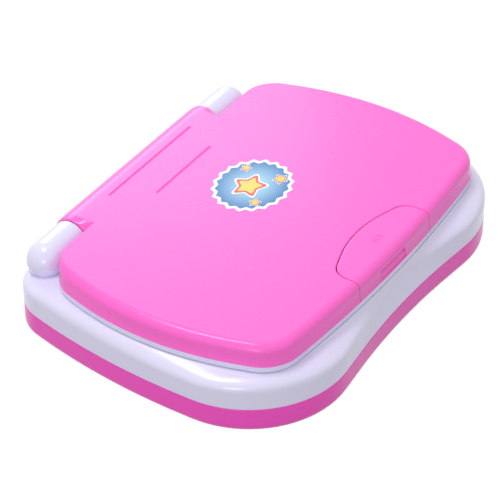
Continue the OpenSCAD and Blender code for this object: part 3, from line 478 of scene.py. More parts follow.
def patterned(name, colour, other, pattern, roughness, metallic=0.0, bump=0.1, depth=0.0003):
    """Two tones mixed by a pattern; pattern(tree, place) gives a mask from 0 to 1."""
    material, tree, shader = new_material(name)
    place_of = add(tree, "ShaderNodeTexCoord").outputs["Object"]
    mask = pattern(tree, place_of)
    blend = add(tree, "ShaderNodeMix", {"Factor": mask}, data_type="RGBA")
    blend.inputs[6].default_value, blend.inputs[7].default_value = colour, other
    tree.links.new(blend.outputs[2], shader.inputs["Base Color"])
    surface = use(tree, skin_group, Roughness=roughness, Wave=0.3, Grain=0.7)
    tree.links.new(surface.outputs["Roughness"], shader.inputs["Roughness"])
    height = maths(tree, "ADD", mask, surface.outputs["Height"])
    relief = add(tree, "ShaderNodeBump", {"Height": height, "Strength": bump, "Distance": depth})
    tree.links.new(relief.outputs["Normal"], shader.inputs["Normal"])
    shader.inputs["Metallic"].default_value = metallic
    return material


def noise_mask(scale, low=0.4, high=0.6, stretch=(1.0, 1.0, 1.0)):
    def pattern(tree, place_of):
        moved = add(tree, "ShaderNodeMapping", {"Vector": place_of, "Scale": stretch}).outputs[0]
        noise = add(tree, "ShaderNodeTexNoise", {"Vector": moved, "Scale": scale,
                                                 "Detail": 4.0}).outputs["Fac"]
        return add(tree, "ShaderNodeMapRange", {"Value": noise, "From Min": low, "From Max": high}).outputs[0]
    return pattern


def track_mask(tree, place_of):
    """Copper tracks: thin lines between square cells, some runs missing."""
    cells = add(tree, "ShaderNodeTexVoronoi", {"Vector": place_of, "Scale": 160.0, "Randomness": 0.7},
                distance="CHEBYCHEV", feature="F1").outputs["Distance"]
    rings = maths(tree, "PINGPONG", maths(tree, "MULTIPLY", cells, 6.0), 1.0)
    return add(tree, "ShaderNodeMapRange", {"Value": rings, "From Min": 0.72, "From Max": 0.8}).outputs[0]


def dot_mask(tree, place_of):
    """The fine square grid of a dot display."""
    parts = add(tree, "ShaderNodeSeparateXYZ", {"Vector": place_of})
    lines = None
    for axis in (0, 1):
        cell = maths(tree, "FRACT", maths(tree, "MULTIPLY", parts.outputs[axis], 1 / 0.0012))
        line = maths(tree, "GREATER_THAN", cell, 0.86)
        lines = line if lines is None else maths(tree, "MAXIMUM", lines, line)
    return lines


steel = patterned("Plated steel", rgb(196, 196, 200), rgb(170, 170, 176),
                  noise_mask(900.0, 0.35, 0.65, (1, 1, 0.1)), 0.3, metallic=1.0, bump=0.05)
foot_rubber = patterned("Foot rubber", rgb(58, 58, 62), rgb(74, 74, 78), noise_mask(1400.0), 0.8, bump=0.3)
silicone = patterned("Silicone mat", rgb(206, 206, 200), rgb(192, 192, 186), noise_mask(60.0), 0.55)
sleeve = patterned("Wire sleeve", rgb(66, 66, 74), rgb(50, 50, 58), noise_mask(300.0), 0.5)
board_green = patterned("Circuit board", rgb(28, 96, 52), rgb(62, 138, 78), track_mask, 0.35)
cell_wrap = patterned("Battery sleeve", rgb(38, 128, 84), rgb(226, 190, 70), noise_mask(14.0, 0.56, 0.58),
                      0.3)
display_glass = patterned("Grey green display", rgb(146, 158, 132), rgb(134, 146, 122), dot_mask, 0.25,
                          bump=0.02)

window_clear, tree, shader = new_material("Clear window")
surface = use(tree, skin_group, Roughness=0.06, Roughness_Range=0.04, Wave=0.4, Grain=0.0)
tint = use(tree, drift_group, Colour=rgb(238, 244, 248), Deeper=rgb(228, 238, 244), Amount=0.4)
tree.links.new(surface.outputs["Roughness"], shader.inputs["Roughness"])
tree.links.new(tint.outputs["Colour"], shader.inputs["Base Color"])
shader.inputs["Transmission Weight"].default_value = 1.0
shader.inputs["IOR"].default_value = 1.49
print("materials:", len(bpy.data.materials))

# %% [markdown]
# ## Lower case
# A shallow dish with a generously rounded bottom edge. Its rim draws in by less than half a millimetre
# where the two cases meet: on the toy that fine groove is what makes the seam line. The cavity, the
# screw bosses and the battery bay are joined and cut as on the real moulding, so it also looks right
# with the battery door open.

# %% Places of the bosses, feet and battery bay
BOSSES = [(s * x, y) for s in (-1, 1) for x, y in ((CASE_W / 2 - 17, -45), (CASE_W / 2 - 20, 45),
                                                   (52, -CASE_D / 2 + 21))]
FEET = [(s * x, y) for s in (-1, 1) for x, y in ((CASE_W / 2 - 32, -CASE_D / 2 + 30),
                                                 (CASE_W / 2 - 36, CASE_D / 2 - 22))]
HEAD_R, SHANK_R, PILOT_R = 2.8, 1.3, 1.35
BAY_Y, BAY_L, CELL_D = 8, 58, 14.5
BAY_W = 3 * CELL_D + 4 * 0.4
BAY_TOP = FLOOR_Z + 0.3 + CELL_D + 0.4
DOOR_X, TONGUE_X, TONGUE_L, TONGUE_W = BAY_L / 2 + 1.4, BAY_L / 2 + 1.4, 10, 12
DOOR_W = BAY_W + 2.8
DOOR_SCREW_X = TONGUE_X + 4.6


def round_off(radius, steps=10):
    """(inset, height) pairs of a quarter round, from the flat face up to the side."""
    angles = [math.pi / 2 * k / steps for k in range(steps + 1)]
    return [(radius * (1 - math.sin(a)), radius * (1 - math.cos(a))) for a in angles]


def door_plate(gap, low, high):
    main = box([-DOOR_X - gap, TONGUE_X + gap], [BAY_Y - DOOR_W / 2 - gap, BAY_Y + DOOR_W / 2 + gap],
               [low, high], 0.8)
    tongue = box([TONGUE_X - 1, TONGUE_X + TONGUE_L + gap],
                 [BAY_Y - TONGUE_W / 2 - gap, BAY_Y + TONGUE_W / 2 + gap], [low, high], 0.8)
    return main, tongue


# %% Lower case, joined and cut
rings = [(outline(CASE, inset), FOOT_Z + z) for inset, z in round_off(5)]
rings += [(outline(CASE, inset), SEAM_Z - drop) for inset, drop in ((0, 0.6), (0.1, 0.3), (0.4, 0))]
cavity = stack([(outline(CASE, 6.1), FLOOR_Z), (outline(CASE, 3.4), FLOOR_Z + 1.2),
                (outline(CASE, WALL), FOOT_Z + 5), (outline(CASE, WALL), SEAM_Z + 1)])
steps = [("-", cavity)]
steps += [("+", post(x, y, (HEAD_R + 1.8, FLOOR_Z - 0.01), (HEAD_R + 1.8, SEAM_Z - 0.01))) for x, y in BOSSES]
steps += [("+", box([-BAY_L / 2 - 3, BAY_L / 2 + 3], [BAY_Y - BAY_W / 2 - 3, BAY_Y + BAY_W / 2 + 3],
                    [FLOOR_Z - 0.01, BAY_TOP + 1.6], 1)),
          ("+", box([BAY_L / 2, TONGUE_X + TONGUE_L + 2], [BAY_Y - 8, BAY_Y + 8], [FLOOR_Z - 0.01, 13]))]
steps += [("-", plate) for plate in door_plate(0.3, 0, FLOOR_Z)]
steps += [("-", box([-BAY_L / 2, BAY_L / 2], [BAY_Y - BAY_W / 2, BAY_Y + BAY_W / 2], [0, BAY_TOP])),
          ("-", post(DOOR_SCREW_X, BAY_Y, (SHANK_R + 0.7, 0), (SHANK_R + 0.7, 11)))]
steps += [("-", post(x, y, (HEAD_R + 0.7, 0), (HEAD_R + 0.7, 1), (HEAD_R + 0.3, 1.4),
                     (HEAD_R + 0.3, FOOT_Z + 5),
                     (SHANK_R + 0.2, FOOT_Z + 5.01), (SHANK_R + 0.2, SEAM_Z + 1))) for x, y in BOSSES]
steps += [("-", post(x, y, (6.05, 0), (6.05, FOOT_Z + 0.8))) for x, y in FEET]
place(soften(assemble(stack(rings), *steps)), "lower_case", case_pink)

# %% [markdown]
# ## Upper case
# The white moulding carries the shape that the eye follows: a wall that leans back in the hollow of the
# front, a soft ridge, and a shoulder that rises to the lid's own outline. The shoulder is a blend of two
# outlines along a curve. The tray, the key openings, the grille and the trough of the hinge are cut out
# of it, with rounded lips where fingers touch.

# %% Keyboard places
ROWS = ("QWERTYUIOP", "ASDFGHJKL", "ZXCVBNM")
PITCH_X, PITCH_Y, KEY_W, KEY_D, KEY_R, SPACE_W, BUTTON_R = 19, 16.5, 15.4, 13.4, 3, 82, 6.6
KEYBOARD_Y, SPACE_Y, BUTTONS_Y = 10.5, -22.5, 45.5
KEYS = {letter: ((i - (len(row) - 1) / 2 - (0.25 if r == 2 else 0)) * PITCH_X, KEYBOARD_Y + (1 - r) * PITCH_Y)
        for r, row in enumerate(ROWS) for i, letter in enumerate(row)}
BUTTONS = {colour: ((i - 1.5) * 26, BUTTONS_Y) for i, colour in enumerate(("red", "yellow", "green", "blue"))}
KEY_GAP, SPEAKER, SWITCH_X, SWITCH_TRAVEL = 0.35, (-64, -53.5), 84, 5
BOARD_Y, BOARD_TOP = (-30.75, 55.5), 21.2
POSTS = [(x, y) for x in (-95, 95) for y in (BOARD_Y[0] + 4, BOARD_Y[1] - 4)]
print("keys:", len(KEYS), "board top in the frame:", box_of("main_board")[1][2])


# %% Geometry Nodes: the ring pattern of the speaker grille, as one cutter
grille_tree, way_in, way_out = group_of(
    "GeometryNodeTree", "Grille holes",
    [("Rings", "Int", 2), ("Step", "Float", 4.4), ("Radius", "Float", 1.2), ("Length", "Float", 8.0)],
    [("Geometry", "Geometry")])
hole = add(grille_tree, "GeometryNodeMeshCylinder", {"Vertices": 24, "Radius": way_in.outputs["Radius"],
                                                     "Depth": way_in.outputs["Length"]})
dots = [add(grille_tree, "GeometryNodePoints", {"Count": 1}).outputs[0]]
for ring in (1, 2):
    reach = add(grille_tree, "ShaderNodeMath", {0: way_in.outputs["Step"], 1: float(ring)},
                operation="MULTIPLY")
    path = add(grille_tree, "GeometryNodeCurvePrimitiveCircle",
               {"Resolution": 6 * ring, "Radius": reach.outputs[0]}, mode="RADIUS")
    dots.append(add(grille_tree, "GeometryNodeCurveToPoints", {"Curve": path.outputs[0]},
                    mode="EVALUATED").outputs[0])
every = add(grille_tree, "GeometryNodeJoinGeometry")
for dot in dots:
    grille_tree.links.new(dot, every.inputs[0])
holes = add(grille_tree, "GeometryNodeInstanceOnPoints",
            {"Points": every.outputs[0], "Instance": hole.outputs[0]})
real = add(grille_tree, "GeometryNodeRealizeInstances", {0: holes.outputs[0]})
grille_tree.links.new(real.outputs[0], way_out.inputs[0])


def grown(tree, base=None, **values):
    """Plain mesh made by a geometry tree; values set its inputs by name, underscores for spaces."""
    work = bpy.data.objects.new("work", base or bpy.data.meshes.new("work"))
    bpy.context.scene.collection.objects.link(work)
    modifier = work.modifiers.new("grow", "NODES")
    modifier.node_group = tree
    for item in tree.interface.items_tree:
        key = item.name.replace(" ", "_")
        if item.item_type == "SOCKET" and item.in_out == "INPUT" and key in values:
            modifier[item.identifier] = values[key]
    graph = bpy.context.evaluated_depsgraph_get()
    made = bpy.data.meshes.new_from_object(work.evaluated_get(graph), depsgraph=graph)
    bpy.data.objects.remove(work)
    return made


grille = grown(grille_tree, Radius=1.2)
grille.transform(Matrix.Translation((*SPEAKER, UNDER_Z + WALL / 2)))
print("grille cutter:", len(grille.polygons), "faces")

# %% Upper case, joined and cut
SHOULDER = [Vector(p) for p in ((0, 26.9), (0, 31.2), (0.3, 33.2), (1, DECK_Z))]


def bezier(points, t):
    """Point on a curve of four control points."""
    while len(points) > 1:
        points = [a.lerp(b, t) for a, b in zip(points, points[1:])]
    return points[0]


ridge, rim = outline(RIDGE), outline(LID)
rings = [(outline(CASE, inset), SEAM_Z + rise) for inset, rise in ((0.4, 0), (0.1, 0.3), (0, 0.6))]
for k in range(15):
    share, z = bezier(SHOULDER, k / 14)
    rings.append((mixed(ridge, rim, share), z))
inside = outline(RIDGE, WALL)
tray = [(outline(LID, inset), z) for inset, z in ((12.2, TRAY_Z), (11.5, TRAY_Z + 0.2), (11.1, TRAY_Z + 0.8),
                                                  (11, TRAY_Z + 1.6), (11, DECK_Z - 1), (10.7, DECK_Z - 0.35),
                                                  (10, DECK_Z), (9.9, DECK_Z + 1))]
knuckle = [(KNUCKLE_R - 0.5, KNUCKLE_X), (KNUCKLE_R - 0.15, KNUCKLE_X + 0.15), (KNUCKLE_R, KNUCKLE_X + 0.5)]
knuckle += [(KNUCKLE_R * math.cos(a), KNUCKLE_END + KNUCKLE_R * math.sin(a))
            for a in [math.pi / 2 * k / 14 for k in range(14)] + [1.56]]
steps = [("-", stack([(inside, SEAM_Z - 1), (inside, UNDER_Z)])), ("-", stack(tray)),
         ("+", assemble(hinge_rod((TROUGH_R + WALL, -KNUCKLE_X), (TROUGH_R + WALL, KNUCKLE_X)),
                        ("-", box([-CASE_W, CASE_W], [-CASE_D, CASE_D], [DECK_Z - 3, 90])),
                        ("-", box([-CASE_W, CASE_W], [CASE_D / 2 - 1.5, CASE_D], [0, 90]))))]
for side in (-1, 1):
    steps.append(("+", hinge_rod(*[(r, side * x) for r, x in knuckle])))
steps += [("+", post(x, y, (HEAD_R + 1.2, SEAM_Z), (HEAD_R + 1.2, UNDER_Z + 0.01))) for x, y in BOSSES]
steps += [("+", post(x, y, (2.8, BOARD_TOP), (2.8, UNDER_Z + 0.01))) for x, y in POSTS]
steps += [("+", post(*SPEAKER, (15.8, UNDER_Z - 3), (15.8, UNDER_Z + 0.01))),
          ("-", hinge_rod((TROUGH_R, -KNUCKLE_X), (TROUGH_R, KNUCKLE_X), steps=96))]
LIP = ((0, UNDER_Z - 1), (0, TRAY_Z - 0.5), (0.15, TRAY_Z - 0.15), (0.5, TRAY_Z + 0.02))
for x, y in KEYS.values():
    steps.append(("-", bar(x, y, KEY_W + 2 * KEY_GAP, KEY_D + 2 * KEY_GAP, KEY_R + KEY_GAP, *LIP)))
steps.append(("-", bar(0, SPACE_Y, SPACE_W + 2 * KEY_GAP, KEY_D + 2 * KEY_GAP, KEY_R + KEY_GAP, *LIP)))
for x, y in BUTTONS.values():
    steps.append(("-", post(x, y, *[(BUTTON_R + KEY_GAP + grow, z) for grow, z in LIP])))
steps += [("-", post(x, y, (PILOT_R, SEAM_Z - 1), (PILOT_R, UNDER_Z - 1.9))) for x, y in BOSSES]
steps += [("-", post(x, y, (PILOT_R, BOARD_TOP - 1), (PILOT_R, BOARD_TOP + 3.4))) for x, y in POSTS]
steps += [("-", post(*SPEAKER, (14.2, UNDER_Z - 4), (14.2, UNDER_Z))), ("-", grille),
          ("-", bar(SWITCH_X + SWITCH_TRAVEL / 2, BUTTONS_Y, 10.8, 4.4, 1, *LIP)),
          ("-", box([-6.6, 6.6], [LID_FRONT + 1.6, LID_FRONT + 5.9], [UNDER_Z - 1, DECK_Z + 1])),
          ("-", box([-6.6, 6.6], [LID_FRONT + 1.6, LID_FRONT + 7.9], [UNDER_Z - 1, DECK_Z - WALL])),
          ("-", hinge_rod((2.55, KNUCKLE_X - 1), (2.55, KNUCKLE_X + 15))),
          ("-", hinge_rod((4.65, -KNUCKLE_END), (4.65, 1 - KNUCKLE_X))),
          ("-", post(HINGE_X - KNUCKLE_X - 13, HINGE_Y, (3.2, SEAM_Z + 2), (3.2, HINGE_Z)))]
place(soften(assemble(stack(rings), *steps)), "upper_case", white)

# %% [markdown]
# ## Lid
# One thin shell with a nearly flat top, a quarter round of five millimetres along its edge and a side
# that flares slightly at its foot. Only the back edge beside the knuckles is left nearly sharp. The hinge
# barrel runs out of the top surface without a step: its profile is a circle joined to a flat plate, and
# over the last five millimetres the plate sinks onto the circle, which gives the sloping facet at each
# end. Two shallow grooves lie along the hinge.

# %% Lid surfaces
DRAFT, LID_ROUND = 1.0, 5.0


def lid_ring(inset, thick=0.0):
    """The lid's outline drawn in by inset, and all round by thick; its back edge hardly follows."""
    return outline(lid_outline(0.85 * inset), inset + thick)


def lid_rings():
    """Rings of the lid's outer surface."""
    flare = [(DRAFT * (1 - (1 - u) ** 3), SHELL_Z + u * (TOP_Z - LID_ROUND - SHELL_Z)) for u in
             (0.05, 0.12, 0.22, 0.36, 0.55, 0.78)]
    rings = [(0.25, SHELL_Z), *flare]
    rings += [(DRAFT + LID_ROUND * (1 - math.cos(a)), TOP_Z - LID_ROUND * (1 - math.sin(a)))
              for a in [math.pi / 2 * k / 12 for k in range(13)]]
    return [(lid_ring(i), z) for i, z in rings]


def barrel_ring(x, radius, plate, reach, steps=48):
    """Section of the barrel: a circle whose upper front quarter gives way to a flat plate of this share."""
    ring = []
    for k in range(steps):
        a = math.pi / 2 - 2 * math.pi * k / steps
        out = Vector((math.cos(a), math.sin(a)))
        point = out * radius
        if out.x < 0 < out.y:
            wide, high = min(1.0, -out.x * 1.6), min(1.0, out.y * 3.0)
            point = point.lerp(Vector((-reach * wide, radius * high)), plate)
        ring.append((HINGE_X + x, HINGE_Y + point.x, HINGE_Z + point.y))
    return ring


def lid_inside():
    return stack([(lid_ring(0, WALL), SHELL_Z - 1), (lid_ring(DRAFT, WALL), TOP_Z - LID_ROUND),
                  (lid_ring(DRAFT + 0.7, WALL), TOP_Z - 3.6), (lid_ring(DRAFT + 3, WALL), TOP_Z - WALL)])


LATCH_X, LATCH_HALF, LATCH_GAP = 2.7, 38.1, 0.4
LATCH_SIDE, LATCH_CORNER, LATCH_APEX, LATCH_BOW = LID_FRONT + 18.1, 10.7, LID_FRONT + 29.95, 75


def latch_space(gap, flare):
    """The D-shaped column that the latch takes out of the lid, its upper edge rounded by flare."""
    rings = []
    for grow, z in ((0, FRAME_Z - 1), (0, TOP_Z - 0.6), (0.12, TOP_Z - 0.35), (0.45, TOP_Z - 0.12),
                    (1, TOP_Z + 0.01), (1, TOP_Z + 2)):
        g = gap + grow * flare
        corners = [(LATCH_HALF + g, -CASE_D / 2 - 10, 0.1),
                   (LATCH_HALF + g, LATCH_SIDE + g, LATCH_CORNER + g),
                   (0, LATCH_APEX + g, LATCH_BOW + g), (-LATCH_HALF - g, LATCH_SIDE + g, LATCH_CORNER + g),
                   (-LATCH_HALF - g, -CASE_D / 2 - 10, 0.1)]
        rings.append(([p + Vector((LATCH_X, 0)) for p in outline(corners, steps=24)], z))
    return stack(rings)


def groove(middle, half, y):
    """Cutter of a round-bottomed groove along X."""
    ends = [(-half, 0.05), (-half + 0.4, 0.65), (-half + 0.9, 0.9)]
    ends += [(-x, r) for x, r in reversed(ends)]
    return skin([[(middle + x, y + r * math.cos(a), TOP_Z + r * 0.85 * math.sin(a)) for a in
                  [2 * math.pi * k / 20 for k in range(20)]] for x, r in ends])


# %% Lid shell, joined and cut
EDGE = HINGE_Y - LID_BACK + 0.3
ends = [(BARREL_HALF - 0.01, 12, 1, EDGE + 8), (BARREL_HALF, 12, 1, EDGE),
        (BARREL_HALF + 0.5, 11.98, 0.93, EDGE),
        (BARREL_HALF + 1, 11.94, 0.83, EDGE), (BARREL_HALF + 3.9, 11.72, 0.12, EDGE),
        (BARREL_TIP - 0.35, 11.6, 0.04, EDGE), (BARREL_TIP, 11.3, 0, EDGE)]
barrel = skin([barrel_ring(-x, *rest) for x, *rest in reversed(ends)] + [barrel_ring(*end) for end in ends])
LID_BOSSES = [(side * x, y) for side in (-1, 1)
              for x, y in ((LID_W / 2 - 18, LID_FRONT + 30), (LID_W / 2 - 18, LID_BACK - 24),
                           (54, LID_FRONT + 11))]
steps = [("-", lid_inside()), ("+", barrel)]
steps += [("+", post(x, y, (3.4, FRAME_Z + 2.05), (3.4, TOP_Z - 1))) for x, y in LID_BOSSES]
ROOM = BARREL_HALF - 12
steps += [("-", hinge_rod((BARREL_R - WALL, -ROOM), (BARREL_R - WALL, ROOM))),
          ("-", hinge_rod((2.55, ROOM - 1), (2.55, BARREL_TIP + 1))),
          ("-", hinge_rod((4.65, -BARREL_TIP - 1), (4.65, 1 - ROOM))),
          ("-", box([HINGE_X - ROOM, HINGE_X + ROOM], [LID_BACK - 9, HINGE_Y],
                    [SHELL_Z + WALL, TOP_Z - WALL])),
          ("-", latch_space(LATCH_GAP, 0.7))]
steps += [("-", post(x, y, (PILOT_R, FRAME_Z + 1), (PILOT_R, FRAME_Z + 9))) for x, y in LID_BOSSES]
steps += [("-", groove(0, 41, HINGE_Y - 4.6)), ("-", groove(2.6, 27.6, HINGE_Y - 25.5))]
place(soften(assemble(stack(lid_rings()), *steps)), "lid_shell", lid_pink)

# %% [markdown]
# ## Latch
# The latch is a piece of the lid's own skin, cut out along a D-shaped line and hung on a pin, so that
# pressing its rear edge lifts the hook under its front. It is made from the very same surfaces as the
# lid, cut the other way round, and then given its finger recess, hook and three tiny grip ribs.

# %% Geometry Nodes: a row of small ribs
rib_tree, way_in, way_out = group_of(
    "GeometryNodeTree", "Row of ribs",
    [("Count", "Int", 3), ("Pitch", "Float", 2.9), ("Size", "Vector", (0.7, 3.6, 0.5))],
    [("Geometry", "Geometry")])
rib = add(rib_tree, "GeometryNodeMeshCube", {"Size": way_in.outputs["Size"]})
pitch = add(rib_tree, "ShaderNodeCombineXYZ", {"X": way_in.outputs["Pitch"]})
row = add(rib_tree, "GeometryNodeMeshLine", {"Count": way_in.outputs["Count"], "Offset": pitch.outputs[0]},
          mode="OFFSET")
ribs = add(rib_tree, "GeometryNodeInstanceOnPoints", {"Points": row.outputs[0], "Instance": rib.outputs[0]})
real = add(rib_tree, "GeometryNodeRealizeInstances", {0: ribs.outputs[0]})
rib_tree.links.new(real.outputs[0], way_out.inputs[0])

# %% Latch, joined and cut
AXIS_Y, AXIS_Z = LID_FRONT + 7, TOP_Z - 5.3
PIN_R, PIN_SLIP, LUG_R, LUG_HALF = 1.2, 0.05, 2.1, 1.5
LATCH_LUGS, FRAME_LUGS = (-20, 20), (-24, 24)
HOOK_HALF, HOOK_Z = 6, DECK_Z - 4.6
GRIP = (1.1, LID_FRONT + 14.3, TOP_Z)


def lugs(places, low, high):
    """Lugs on the latch's axis: a plate from low to high with a round end."""
    made = []
    for x in places:
        made += [("+", box([x - LUG_HALF, x + LUG_HALF], [AXIS_Y - LUG_R, AXIS_Y + LUG_R], [low, high])),
                 ("+", rod(AXIS_Y, AXIS_Z, (LUG_R, x - LUG_HALF), (LUG_R, x + LUG_HALF), steps=32))]
    return made


def pin_bores(places):
    """Holes for the latch's pin through the lugs at these places."""
    return [("-", rod(AXIS_Y, AXIS_Z, (PIN_R + PIN_SLIP, x - 3), (PIN_R + PIN_SLIP, x + 3), steps=32))
            for x in places]


ribs = grown(rib_tree)
ribs.transform(Matrix.Translation(GRIP))
LIP_Z, RECESS = SHELL_Z + 7, (-14.6, 12.6)
scoop = [[(x, LID_FRONT - 5, SHELL_Z + 1), (x, LID_FRONT + 1, SHELL_Z + 1), (x, LID_FRONT + 1.7, SHELL_Z + 4),
          (x, LID_FRONT + 2.9, SHELL_Z + 5), (x, LID_FRONT + 2.9, LIP_Z - 0.2), (x, LID_FRONT + 2.6, LIP_Z),
          (x, LID_FRONT + 1.2, LIP_Z + 0.1), (x, LID_FRONT - 5, LIP_Z + 1)] for x in RECESS]
steps = [("-", lid_inside()), ("&", latch_space(0, -0.7)),
         ("+", box([RECESS[0] - 2, RECESS[1] + 2], [LID_FRONT + 1.7, LID_FRONT + 3.5],
                   [SHELL_Z, LIP_Z + 1.2]))]
steps += lugs(LATCH_LUGS, AXIS_Z, TOP_Z - WALL + 0.5)
steps += [("+", box([-HOOK_HALF, HOOK_HALF], [LID_FRONT + 3.3, LID_FRONT + 4.9],
                    [HOOK_Z, TOP_Z - WALL + 0.5])),
          ("+", box([-HOOK_HALF, HOOK_HALF], [LID_FRONT + 4.8, LID_FRONT + 6.5],
                    [HOOK_Z, DECK_Z - WALL - 0.2])),
          ("+", ribs), ("-", skin(scoop))]
steps += pin_bores(LATCH_LUGS)
place(soften(assemble(stack(lid_rings()), *steps)), "latch", lid_pink)

# %% [markdown]
# ## Lid frame
# The white frame closes the lid from below and shows as a thin band round it. Seen open, it holds the
# small screen behind a rounded opening and carries the lid's screws.

# %% Lid frame, joined and cut
VIEW_W, VIEW_D, SCREEN_Y, LID_FLOOR = 96, 64, -3, FRAME_Z + 2
BOARD_HALF, LID_BOARD_Y, LID_BOARD_Z = 57, (-41, 35), 39.3
LID_POSTS = [(x, y) for x in (-BOARD_HALF + 4, BOARD_HALF - 4)
             for y in (LID_BOARD_Y[0] + 3.2, LID_BOARD_Y[1] - 3.2)]
band = [(outline(LID, 0.3 + i), z) for i, z in ((0.5, FRAME_Z), (0.15, FRAME_Z + 0.15), (0, FRAME_Z + 0.5),
                                                (0, SHELL_Z - 0.3), (0.1, SHELL_Z - 0.1), (0.3, SHELL_Z))]
steps = [("-", stack([(outline(LID, WALL + 0.3), LID_FLOOR), (outline(LID, WALL + 0.3), SHELL_Z + 2)]))]
steps += [("+", post(x, y, (2.8, LID_FLOOR - 0.01), (2.8, LID_BOARD_Z))) for x, y in LID_POSTS]
steps += lugs(FRAME_LUGS, LID_FLOOR - 0.01, AXIS_Z)
steps += [("+", post(0, LID_FRONT + 15.5, (1.8, LID_FLOOR - 0.01), (1.8, LID_FLOOR + 2))),
          ("-", bar(0, SCREEN_Y, VIEW_W, VIEW_D, 2.5, (1.0, FRAME_Z - 0.02), (0.3, FRAME_Z + 0.2),
                    (0, FRAME_Z + 0.6), (0, LID_FLOOR + 1))),
          ("-", bar(0, SCREEN_Y, VIEW_W + 5.2, VIEW_D + 5.2, 1, (0, FRAME_Z + 1), (0, LID_FLOOR + 3))),
          ("-", box([-6.6, 6.6], [LID_FRONT + 1.6, LID_FRONT + 7.2], [FRAME_Z - 1, LID_FLOOR + 1])),
          ("-", hinge_rod((BARREL_R + 0.05, -BARREL_TIP), (BARREL_R + 0.05, BARREL_TIP)))]
steps += pin_bores(FRAME_LUGS)
steps += [("-", post(x, y, (HEAD_R + 0.7, FRAME_Z - 0.02), (HEAD_R + 0.3, FRAME_Z + 0.3),
                     (HEAD_R + 0.3, FRAME_Z + 1.2),
                     (SHANK_R + 0.2, FRAME_Z + 1.21), (SHANK_R + 0.2, FRAME_Z + 5))) for x, y in LID_BOSSES]
steps += [("-", post(x, y, (PILOT_R, LID_FLOOR - 0.6), (PILOT_R, LID_FLOOR + 7.4))) for x, y in LID_POSTS]
place(soften(assemble(stack(band), *steps)), "lid_frame", white)

# %% [markdown]
# ## Keys and buttons
# Twenty-six letter keys, a space bar and four round buttons share one shape: a flange that keeps the
# key in its opening, a straight body and a top with a rounded edge and a printed sign. That is a rule
# with a few numbers, so one geometry tree grows them all. Each key is its own moving body, and so it
# becomes a mesh of its own.

# %% Geometry Nodes: key cap


def raised(tree, flat, height):
    """Closed plate: a flat filled shape, pulled up by height."""
    up = add(tree, "ShaderNodeCombineXYZ", {"Z": height})
    pulled = add(tree, "GeometryNodeExtrudeMesh", {"Mesh": flat, "Offset": up.outputs[0], "Offset Scale": 1.0,
                                                   "Individual": False})
    both = add(tree, "GeometryNodeJoinGeometry")
    for part in (flat, pulled.outputs[0]):
        tree.links.new(part, both.inputs[0])
    return add(tree, "GeometryNodeMergeByDistance",
               {"Geometry": both.outputs[0], "Distance": 0.001}).outputs[0]


def painted(tree, geometry, material):
    return add(tree, "GeometryNodeSetMaterial", {"Geometry": geometry, "Material": material}).outputs[0]


cap_tree, way_in, way_out = group_of(
    "GeometryNodeTree", "Key cap",
    [("Width", "Float", 15.4), ("Depth", "Float", 13.4), ("Corner", "Float", 3.0), ("Foot", "Float", 25.6),
     ("Flange", "Float", 1.0), ("Flange Height", "Float", 1.0), ("Top", "Float", 32.5),
     ("Round", "Float", 1.2), ("Sign", "String", "A"), ("Sign Size", "Float", 7.0), ("Sides", "Int", 0),
     ("Plastic", "Material", None), ("Ink", "Material", None)], [("Geometry", "Geometry")])
given = way_in.outputs
quad = add(cap_tree, "GeometryNodeCurvePrimitiveQuadrilateral",
           {"Width": given["Width"], "Height": given["Depth"]})
soft = add(cap_tree, "GeometryNodeFilletCurve", {"Curve": quad.outputs[0], "Count": 9,
                                                 "Radius": given["Corner"],
                                                 "Limit Radius": True}, mode="POLY")
flat = add(cap_tree, "GeometryNodeFillCurve", {"Curve": soft.outputs[0]}, mode="NGONS").outputs[0]
core_x = maths(cap_tree, "SUBTRACT", maths(cap_tree, "MULTIPLY", given["Width"], 0.5), given["Corner"])
core_y = maths(cap_tree, "SUBTRACT", maths(cap_tree, "MULTIPLY", given["Depth"], 0.5), given["Corner"])
core = add(cap_tree, "ShaderNodeCombineXYZ", {"X": core_x, "Y": core_y}).outputs[0]


def vectors(tree, how, a, b=(0.0, 0.0, 0.0), scale=1.0):
    made = add(tree, "ShaderNodeVectorMath", {0: a, 1: b}, operation=how)
    if how == "SCALE":
        made = add(tree, "ShaderNodeVectorMath", {0: a, "Scale": scale}, operation=how)
    return made.outputs[0]


spot = vectors(cap_tree, "MULTIPLY", add(cap_tree, "GeometryNodeInputPosition").outputs[0], (1.0, 1.0, 0.0))
held = vectors(cap_tree, "MAXIMUM", vectors(cap_tree, "MINIMUM", spot, core),
               vectors(cap_tree, "SCALE", core, scale=-1.0))
outwards = vectors(cap_tree, "NORMALIZE", vectors(cap_tree, "SUBTRACT", spot, held))


def spread(geometry, amount, selection=None):
    """Moves the rim of the cap outwards by amount, inwards where it is negative."""
    move = vectors(cap_tree, "SCALE", outwards, scale=amount)
    links = {"Geometry": geometry, "Offset": move}
    if selection is not None:
        links["Selection"] = selection
    return add(cap_tree, "GeometryNodeSetPosition", links).outputs[0]


def rise(geometry, amount, selection):
    up = add(cap_tree, "ShaderNodeCombineXYZ", {"Z": amount})
    links = {"Mesh": geometry, "Offset": up.outputs[0], "Offset Scale": 1.0, "Individual": False}
    if selection is not None:
        links["Selection"] = selection
    made = add(cap_tree, "GeometryNodeExtrudeMesh", links)
    return made.outputs["Mesh"], made.outputs["Top"]


